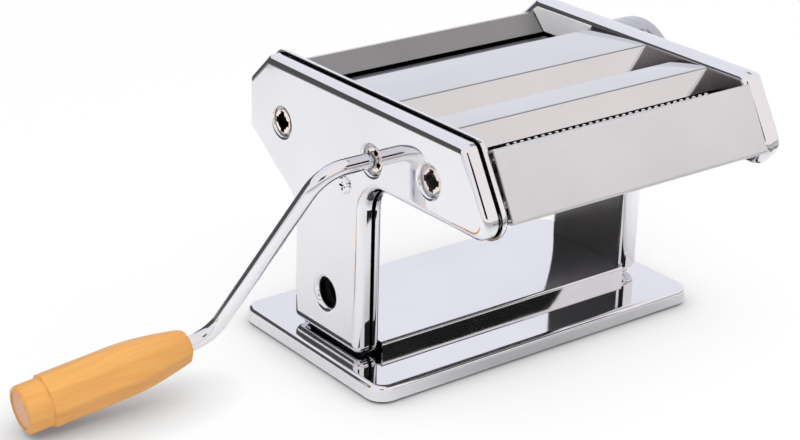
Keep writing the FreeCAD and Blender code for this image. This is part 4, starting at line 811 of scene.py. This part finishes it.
def from_arm(x, w, off):
    """A point of the arm's plane, x along the rollers and w down the arm, moved off that plane."""
    y = rod_y + w * math.sin(CRANK_TURN) + off * math.cos(CRANK_TURN)
    z = rod_z - w * math.cos(CRANK_TURN) + off * math.sin(CRANK_TURN)
    return np.stack(np.broadcast_arrays(x, y, z), -1)


tail = (ELBOW_X - ROD_IN_GRIP * math.cos(GRIP_DROOP), ARM_THROW + ROD_IN_GRIP * math.sin(GRIP_DROOP))
corners = [(ROD_INNER, 0), (ROD_CORNER, 0), (ELBOW_X, ARM_THROW), tail]
path, normal = bends(corners, ROD_BEND, ROD_STEPS, False)
angle = np.linspace(0, 2 * math.pi, ROD_SEGMENTS, endpoint=False)
around = path[:, None] + normal[:, None] * ROD_RADIUS * np.cos(angle)[:, None]
rod = from_arm(around[..., 0], around[..., 1], ROD_RADIUS * np.sin(angle))
ends = [(rod[k], np.arange(ROD_SEGMENTS)[None]) for k in (0, -1)]
arm = [(rod, grid_faces(*rod.shape[:2]))] + ends
make_piece("crank_arm", arm, chrome, "crank", ["crank_rod"])
dress(plain_steel, "crank_pin", "grip_washer")

# Grip: turned wood with eight soft flats, swelling from the rod to its fullest and ending in a plain
# turned cap with a sunk plug, free to spin on the rod.

GRIP_START = 12.0 * MM
GRIP_LENGTH = 83.0 * MM
GRIP_SMALL = 7.3 * MM
GRIP_FLAT = 11.8 * MM
GRIP_FULL = 36.0 * MM
CAP_LENGTH = 11.5 * MM
CAP_ROUND = 2.0 * MM
CAP_RADIUS = 11.3 * MM
RECESS = 8.6 * MM
RECESS_DEPTH = 6.0 * MM
FLATS = 8
FLAT_SHARPNESS = 70.0
GRIP_SEGMENTS = 96
GRIP_STATIONS = 28
NOSE_LENGTH = 2.2 * MM
NOSE_ROUND = 1.6 * MM
CAP_STEP = 0.7 * MM
CAP_STEPS = 6
ROD_PLAY = 0.1 * MM


def soft_polygon(angle, flats, sharpness):
    """Radius of a many-sided round about a circle of radius one: the power mean of the distances to all
    its flats, so that the corners between the flats are soft."""
    facing = np.cos(angle[:, None] - 2 * math.pi * np.arange(flats) / flats)
    return (np.clip(facing, 0, None) ** sharpness).sum(1) ** (-1 / sharpness)


def grip_places(x, y, z):
    """Points given along and about the grip's axis, put where the grip is."""
    c, s = math.cos(GRIP_DROOP), math.sin(GRIP_DROOP)
    x = x + GRIP_START
    return from_arm(ELBOW_X - c * x - s * z, ARM_THROW + s * x - c * z, y)


def wood():
    """Orange-tan stained wood: long grain under a matte lacquer."""
    made, tree, shader = new_finish("grip_wood", (0.76, 0.35, 0.075), metallic=0.0, roughness=0.5)
    lines = grain(tree, scale=1.0, stretch=(28, 420, 420), detail=4.0)
    tint(tree, shader, spread(tree, lines, low=0, high=1), (0.745, 0.37, 0.098), (0.685, 0.325, 0.08))
    tree.links.new(spread(tree, lines, low=0.42, high=0.58), shader.inputs["Roughness"])
    relief(tree, shader, lines, depth=0.012 * MM)
    return made


angle = np.linspace(0, 2 * math.pi, GRIP_SEGMENTS, endpoint=False)
body_x = np.concatenate([np.linspace(0, GRIP_FULL, GRIP_STATIONS), [GRIP_LENGTH - CAP_LENGTH - CAP_STEP]])
swell = np.sin(np.clip(body_x / GRIP_FULL, 0, 1) * math.pi / 2)
flat = GRIP_SMALL + (GRIP_FLAT - GRIP_SMALL) * swell
edge = np.clip(body_x / NOSE_LENGTH, 0, 1)
flat = flat - NOSE_ROUND * (1 - np.sqrt(1 - (1 - edge) ** 2))
shape = flat[:, None] * soft_polygon(angle, FLATS, FLAT_SHARPNESS)
cap_in, cap_fall = quarter(CAP_ROUND, CAP_STEPS)
recess_x = GRIP_LENGTH - RECESS_DEPTH
cap_x = np.concatenate([[GRIP_LENGTH - CAP_LENGTH], GRIP_LENGTH - cap_fall, [GRIP_LENGTH, recess_x]])
cap_r = np.concatenate([[CAP_RADIUS], CAP_RADIUS - cap_in, [RECESS, RECESS]])
rings_x = np.concatenate([[0], body_x, cap_x, [recess_x, 0]])
inner = np.full((1, GRIP_SEGMENTS), ROD_RADIUS + ROD_PLAY)
rings = np.concatenate([inner, shape, np.repeat(cap_r[:, None], GRIP_SEGMENTS, 1), inner, inner])
handle = grip_places(rings_x[:, None], rings * np.cos(angle), rings * np.sin(angle))
handle_patch = (handle, grid_faces(*handle.shape[:2]))
make_piece("wood_grip", [handle_patch], wood(), "grip", ["crank_grip"])


def plug_plastic():
    """Moulded plug: matte pinkish tan."""
    made, tree, shader = new_finish("plug_plastic", (0.72, 0.40, 0.24), metallic=0.0, roughness=0.55)
    speck = grain(tree, scale=500.0)
    tint(tree, shader, spread(tree, speck, low=0, high=1), (0.74, 0.42, 0.26), (0.68, 0.37, 0.21))
    tree.links.new(spread(tree, speck, low=0.5, high=0.65), shader.inputs["Roughness"])
    return made


dress(plug_plastic(), "grip_end_plug")

# Studio: a pale floor with a painted contact shadow and, in reflections, painted shade towards the front,
# two large soft lamps, a white surround and dark cards that show only in the polished metal, with the camera
# of the photograph.

FLOOR_HALF = 6.0
CAMERA_AT = np.array([-575.3, -678.0, 423.1]) * MM
CAMERA_AZIMUTH = math.radians(-37.97)
CAMERA_ELEVATION = math.radians(22.86)
CAMERA_ROLL = math.radians(1.58)
SENSOR_WIDTH = 36.0
LENS = 87.7
SKY_LIGHT = 0.6
FLOOR_PALE = (0.86, 0.86, 0.87)
FLOOR_PAINTED_SHADE = (0.40, 0.40, 0.40)
FLOOR_SHADE_FROM = -0.05
FLOOR_SHADE_FULL = -0.45
FLOOR_GLOW = 0.82
PAINTED_SHADOW_REACH = 0.03
PAINTED_SHADOW_SAMPLES = 8
LAMP_SIZE = 1.4
LAMP_AIM = (0, 0, 0.08)
TENT_FRONT = (1.0, 0.94, 0.935)
TENT_BACK = (0.92, 0.92, 1.0)
TENT_FROM = -0.5
TENT_FULL = 0.3
CARD_FADE = 0.06
CARD_ABOVE = [(0.45, -0.2, 1.0), (0.95, -0.2, 1.0), (0.95, 0.3, 1.0), (0.45, 0.3, 1.0)]
mesh = bpy.data.meshes.new("studio_floor")
floor_corners = [(sx * FLOOR_HALF, sy * FLOOR_HALF, 0) for sx, sy in ((-1, -1), (1, -1), (1, 1), (-1, 1))]
mesh.from_pydata(floor_corners, [], [(0, 1, 2, 3)])
floor = bpy.data.objects.new("studio_floor", mesh)
bpy.context.scene.collection.objects.link(floor)
floor_paint, tree, shader = new_finish("studio_floor", FLOOR_PALE, metallic=0.0, roughness=0.9)
ray = tree.nodes.new("ShaderNodeLightPath")
place = tree.nodes.new("ShaderNodeTexCoord")
split = tree.nodes.new("ShaderNodeSeparateXYZ")
# Painted shade in reflections: for glossy rays the floor's colour darkens towards the front of the stand.
away = tree.nodes.new("ShaderNodeMapRange")
away.interpolation_type = "SMOOTHSTEP"
away.inputs["From Min"].default_value = FLOOR_SHADE_FROM
away.inputs["From Max"].default_value = FLOOR_SHADE_FULL
shade_in_metal = tree.nodes.new("ShaderNodeMath")
shade_in_metal.operation = "MULTIPLY"
paint = tree.nodes.new("ShaderNodeMix")
paint.data_type = "RGBA"
paint.inputs["A"].default_value = (*FLOOR_PALE, 1)
paint.inputs["B"].default_value = (*FLOOR_PAINTED_SHADE, 1)
tree.links.new(place.outputs["Object"], split.inputs["Vector"])
tree.links.new(split.outputs["Y"], away.inputs["Value"])
tree.links.new(away.outputs["Result"], shade_in_metal.inputs[0])
tree.links.new(ray.outputs["Is Glossy Ray"], shade_in_metal.inputs[1])
tree.links.new(shade_in_metal.outputs["Value"], paint.inputs["Factor"])
tree.links.new(paint.outputs["Result"], shader.inputs["Base Color"])
# Painted contact shadow: the floor's glow for the camera is darkened by ambient occlusion near the parts.
painted_contact_shadow = tree.nodes.new("ShaderNodeAmbientOcclusion")
painted_contact_shadow.inputs["Distance"].default_value = PAINTED_SHADOW_REACH
painted_contact_shadow.samples = PAINTED_SHADOW_SAMPLES
glow = tree.nodes.new("ShaderNodeEmission")
glow.inputs["Strength"].default_value = 1.0
share = tree.nodes.new("ShaderNodeMath")
share.operation = "MULTIPLY"
share.inputs[1].default_value = FLOOR_GLOW
blend = tree.nodes.new("ShaderNodeMixShader")
output = tree.nodes["Material Output"]
tree.links.new(painted_contact_shadow.outputs["Color"], glow.inputs["Color"])
tree.links.new(ray.outputs["Is Camera Ray"], share.inputs[0])
tree.links.new(share.outputs["Value"], blend.inputs["Fac"])
tree.links.new(shader.outputs["BSDF"], blend.inputs[1])
tree.links.new(glow.outputs["Emission"], blend.inputs[2])
tree.links.new(blend.outputs["Shader"], output.inputs["Surface"])
mesh.materials.append(floor_paint)


def soft_lamp(name, at, power):
    """A large square lamp that faces the part."""
    lamp = bpy.data.lights.new(name, "AREA")
    lamp.size = LAMP_SIZE
    lamp.energy = power
    made = bpy.data.objects.new(name, lamp)
    made.location = at
    made.rotation_euler = (Vector(LAMP_AIM) - Vector(at)).to_track_quat("-Z", "Y").to_euler()
    made.visible_glossy = False
    bpy.context.scene.collection.objects.link(made)


soft_lamp("key_lamp", at=(-0.5, -0.6, 1.9), power=27)
soft_lamp("fill_lamp", at=(1.3, -0.5, 1.2), power=10)

world = bpy.data.worlds.new("studio")
bpy.context.scene.world = world
world.use_nodes = True
tree = world.node_tree
tree.nodes.clear()
output = tree.nodes.new("ShaderNodeOutputWorld")
ray = tree.nodes.new("ShaderNodeLightPath")
place = tree.nodes.new("ShaderNodeTexCoord")
split = tree.nodes.new("ShaderNodeSeparateXYZ")
behind = tree.nodes.new("ShaderNodeMapRange")
behind.interpolation_type = "SMOOTHSTEP"
behind.inputs["From Min"].default_value = TENT_FROM
behind.inputs["From Max"].default_value = TENT_FULL
walls = tree.nodes.new("ShaderNodeMix")
walls.data_type = "RGBA"
walls.inputs["A"].default_value = (*TENT_FRONT, 1)
walls.inputs["B"].default_value = (*TENT_BACK, 1)
tree.links.new(place.outputs["Generated"], split.inputs["Vector"])
tree.links.new(split.outputs["Y"], behind.inputs["Value"])
tree.links.new(behind.outputs["Result"], walls.inputs["Factor"])
white = tree.nodes.new("ShaderNodeBackground")
tent = tree.nodes.new("ShaderNodeBackground")
sky = tree.nodes.new("ShaderNodeBackground")
mirror = tree.nodes.new("ShaderNodeMath")
mirror.operation = "MAXIMUM"
in_metal = tree.nodes.new("ShaderNodeMixShader")
either = tree.nodes.new("ShaderNodeMixShader")
white.inputs["Color"].default_value = (1, 1, 1, 1)
sky.inputs["Color"].default_value = (1, 1, 1, 1)
sky.inputs["Strength"].default_value = SKY_LIGHT
tree.links.new(walls.outputs["Result"], tent.inputs["Color"])
tree.links.new(ray.outputs["Is Glossy Ray"], mirror.inputs[0])
tree.links.new(ray.outputs["Is Transmission Ray"], mirror.inputs[1])
tree.links.new(mirror.outputs["Value"], in_metal.inputs["Fac"])
tree.links.new(sky.outputs["Background"], in_metal.inputs[1])
tree.links.new(tent.outputs["Background"], in_metal.inputs[2])
tree.links.new(ray.outputs["Is Camera Ray"], either.inputs["Fac"])
tree.links.new(in_metal.outputs["Shader"], either.inputs[1])
tree.links.new(white.outputs["Background"], either.inputs[2])
tree.links.new(either.outputs["Shader"], output.inputs["Surface"])


def card_finish(name, shade, foot):
    """Card of an even shade that fades to pale at its foot, where it has one."""
    made, tree, shader = new_finish(name, (0.0, 0.0, 0.0), metallic=0.0, roughness=1.0)
    shader.inputs["Specular IOR Level"].default_value = 0.0
    shader.inputs["Emission Color"].default_value = (1, 1, 1, 1)
    place = tree.nodes.new("ShaderNodeTexCoord")
    split = tree.nodes.new("ShaderNodeSeparateXYZ")
    fade = tree.nodes.new("ShaderNodeMapRange")
    fade.inputs["From Max"].default_value = CARD_FADE
    fade.inputs["To Min"].default_value = foot
    fade.inputs["To Max"].default_value = shade
    tree.links.new(place.outputs["Object"], split.inputs["Vector"])
    tree.links.new(split.outputs["Z"], fade.inputs["Value"])
    tree.links.new(fade.outputs["Result"], shader.inputs["Emission Strength"])
    return made


def upright(away, distance, start, end, low, high):
    """The corners of an upright card, square to a heading and from start to end across it."""
    ahead = np.array([math.cos(away), math.sin(away)])
    across = np.array([-ahead[1], ahead[0]])
    feet = [ahead * distance + across * place for place in (start, end, end, start)]
    return [(*foot, level) for foot, level in zip(feet, (low, low, high, high))]


def dark_card(name, finish, corners):
    """A card that shows only as a dark band in polished metal."""
    mesh = bpy.data.meshes.new(name)
    mesh.from_pydata(corners, [], [(0, 1, 2, 3)])
    mesh.materials.append(finish)
    card = bpy.data.objects.new(name, mesh)
    bpy.context.scene.collection.objects.link(card)
    card.visible_camera = False
    card.visible_diffuse = False
    card.visible_shadow = False


LEFT_BACK = math.radians(130.0)
RIGHT_FRONT = math.radians(-52.0)
FRONT = math.radians(-90.0)
VIEWER = math.radians(-130.3)
black = card_finish("card_black", shade=0.015, foot=0.015)
charcoal = card_finish("card_charcoal", shade=0.09, foot=0.5)
grey = card_finish("card_grey", shade=0.36, foot=0.36)
dark_card("card_behind", charcoal,
          upright(LEFT_BACK, distance=0.49, start=-0.45, end=0.35, low=0.0, high=0.36))
dark_card("card_before", black,
          upright(FRONT, distance=0.10, start=-0.045, end=0.098, low=0.034, high=0.070))
dark_card("card_low", charcoal,
          upright(RIGHT_FRONT, distance=0.30, start=-0.20, end=0.25, low=0.0, high=0.05))
dark_card("card_viewer", black,
          upright(VIEWER, distance=0.95, start=-0.16, end=0.16, low=0.30, high=0.62))
dark_card("card_above", grey, CARD_ABOVE)

camera = bpy.data.cameras.new("camera")
camera.sensor_width = SENSOR_WIDTH
camera.lens = LENS
viewer = bpy.data.objects.new("camera", camera)
ahead = Vector((-math.sin(CAMERA_AZIMUTH) * math.cos(CAMERA_ELEVATION),
                math.cos(CAMERA_AZIMUTH) * math.cos(CAMERA_ELEVATION), -math.sin(CAMERA_ELEVATION)))
level = ahead.to_track_quat("-Z", "Y").to_matrix().to_4x4()
viewer.matrix_world = Matrix.Translation(CAMERA_AT) @ level @ Matrix.Rotation(CAMERA_ROLL, 4, "Z")
bpy.context.scene.collection.objects.link(viewer)
bpy.context.scene.camera = viewer
bpy.context.scene.view_settings.view_transform = "Standard"
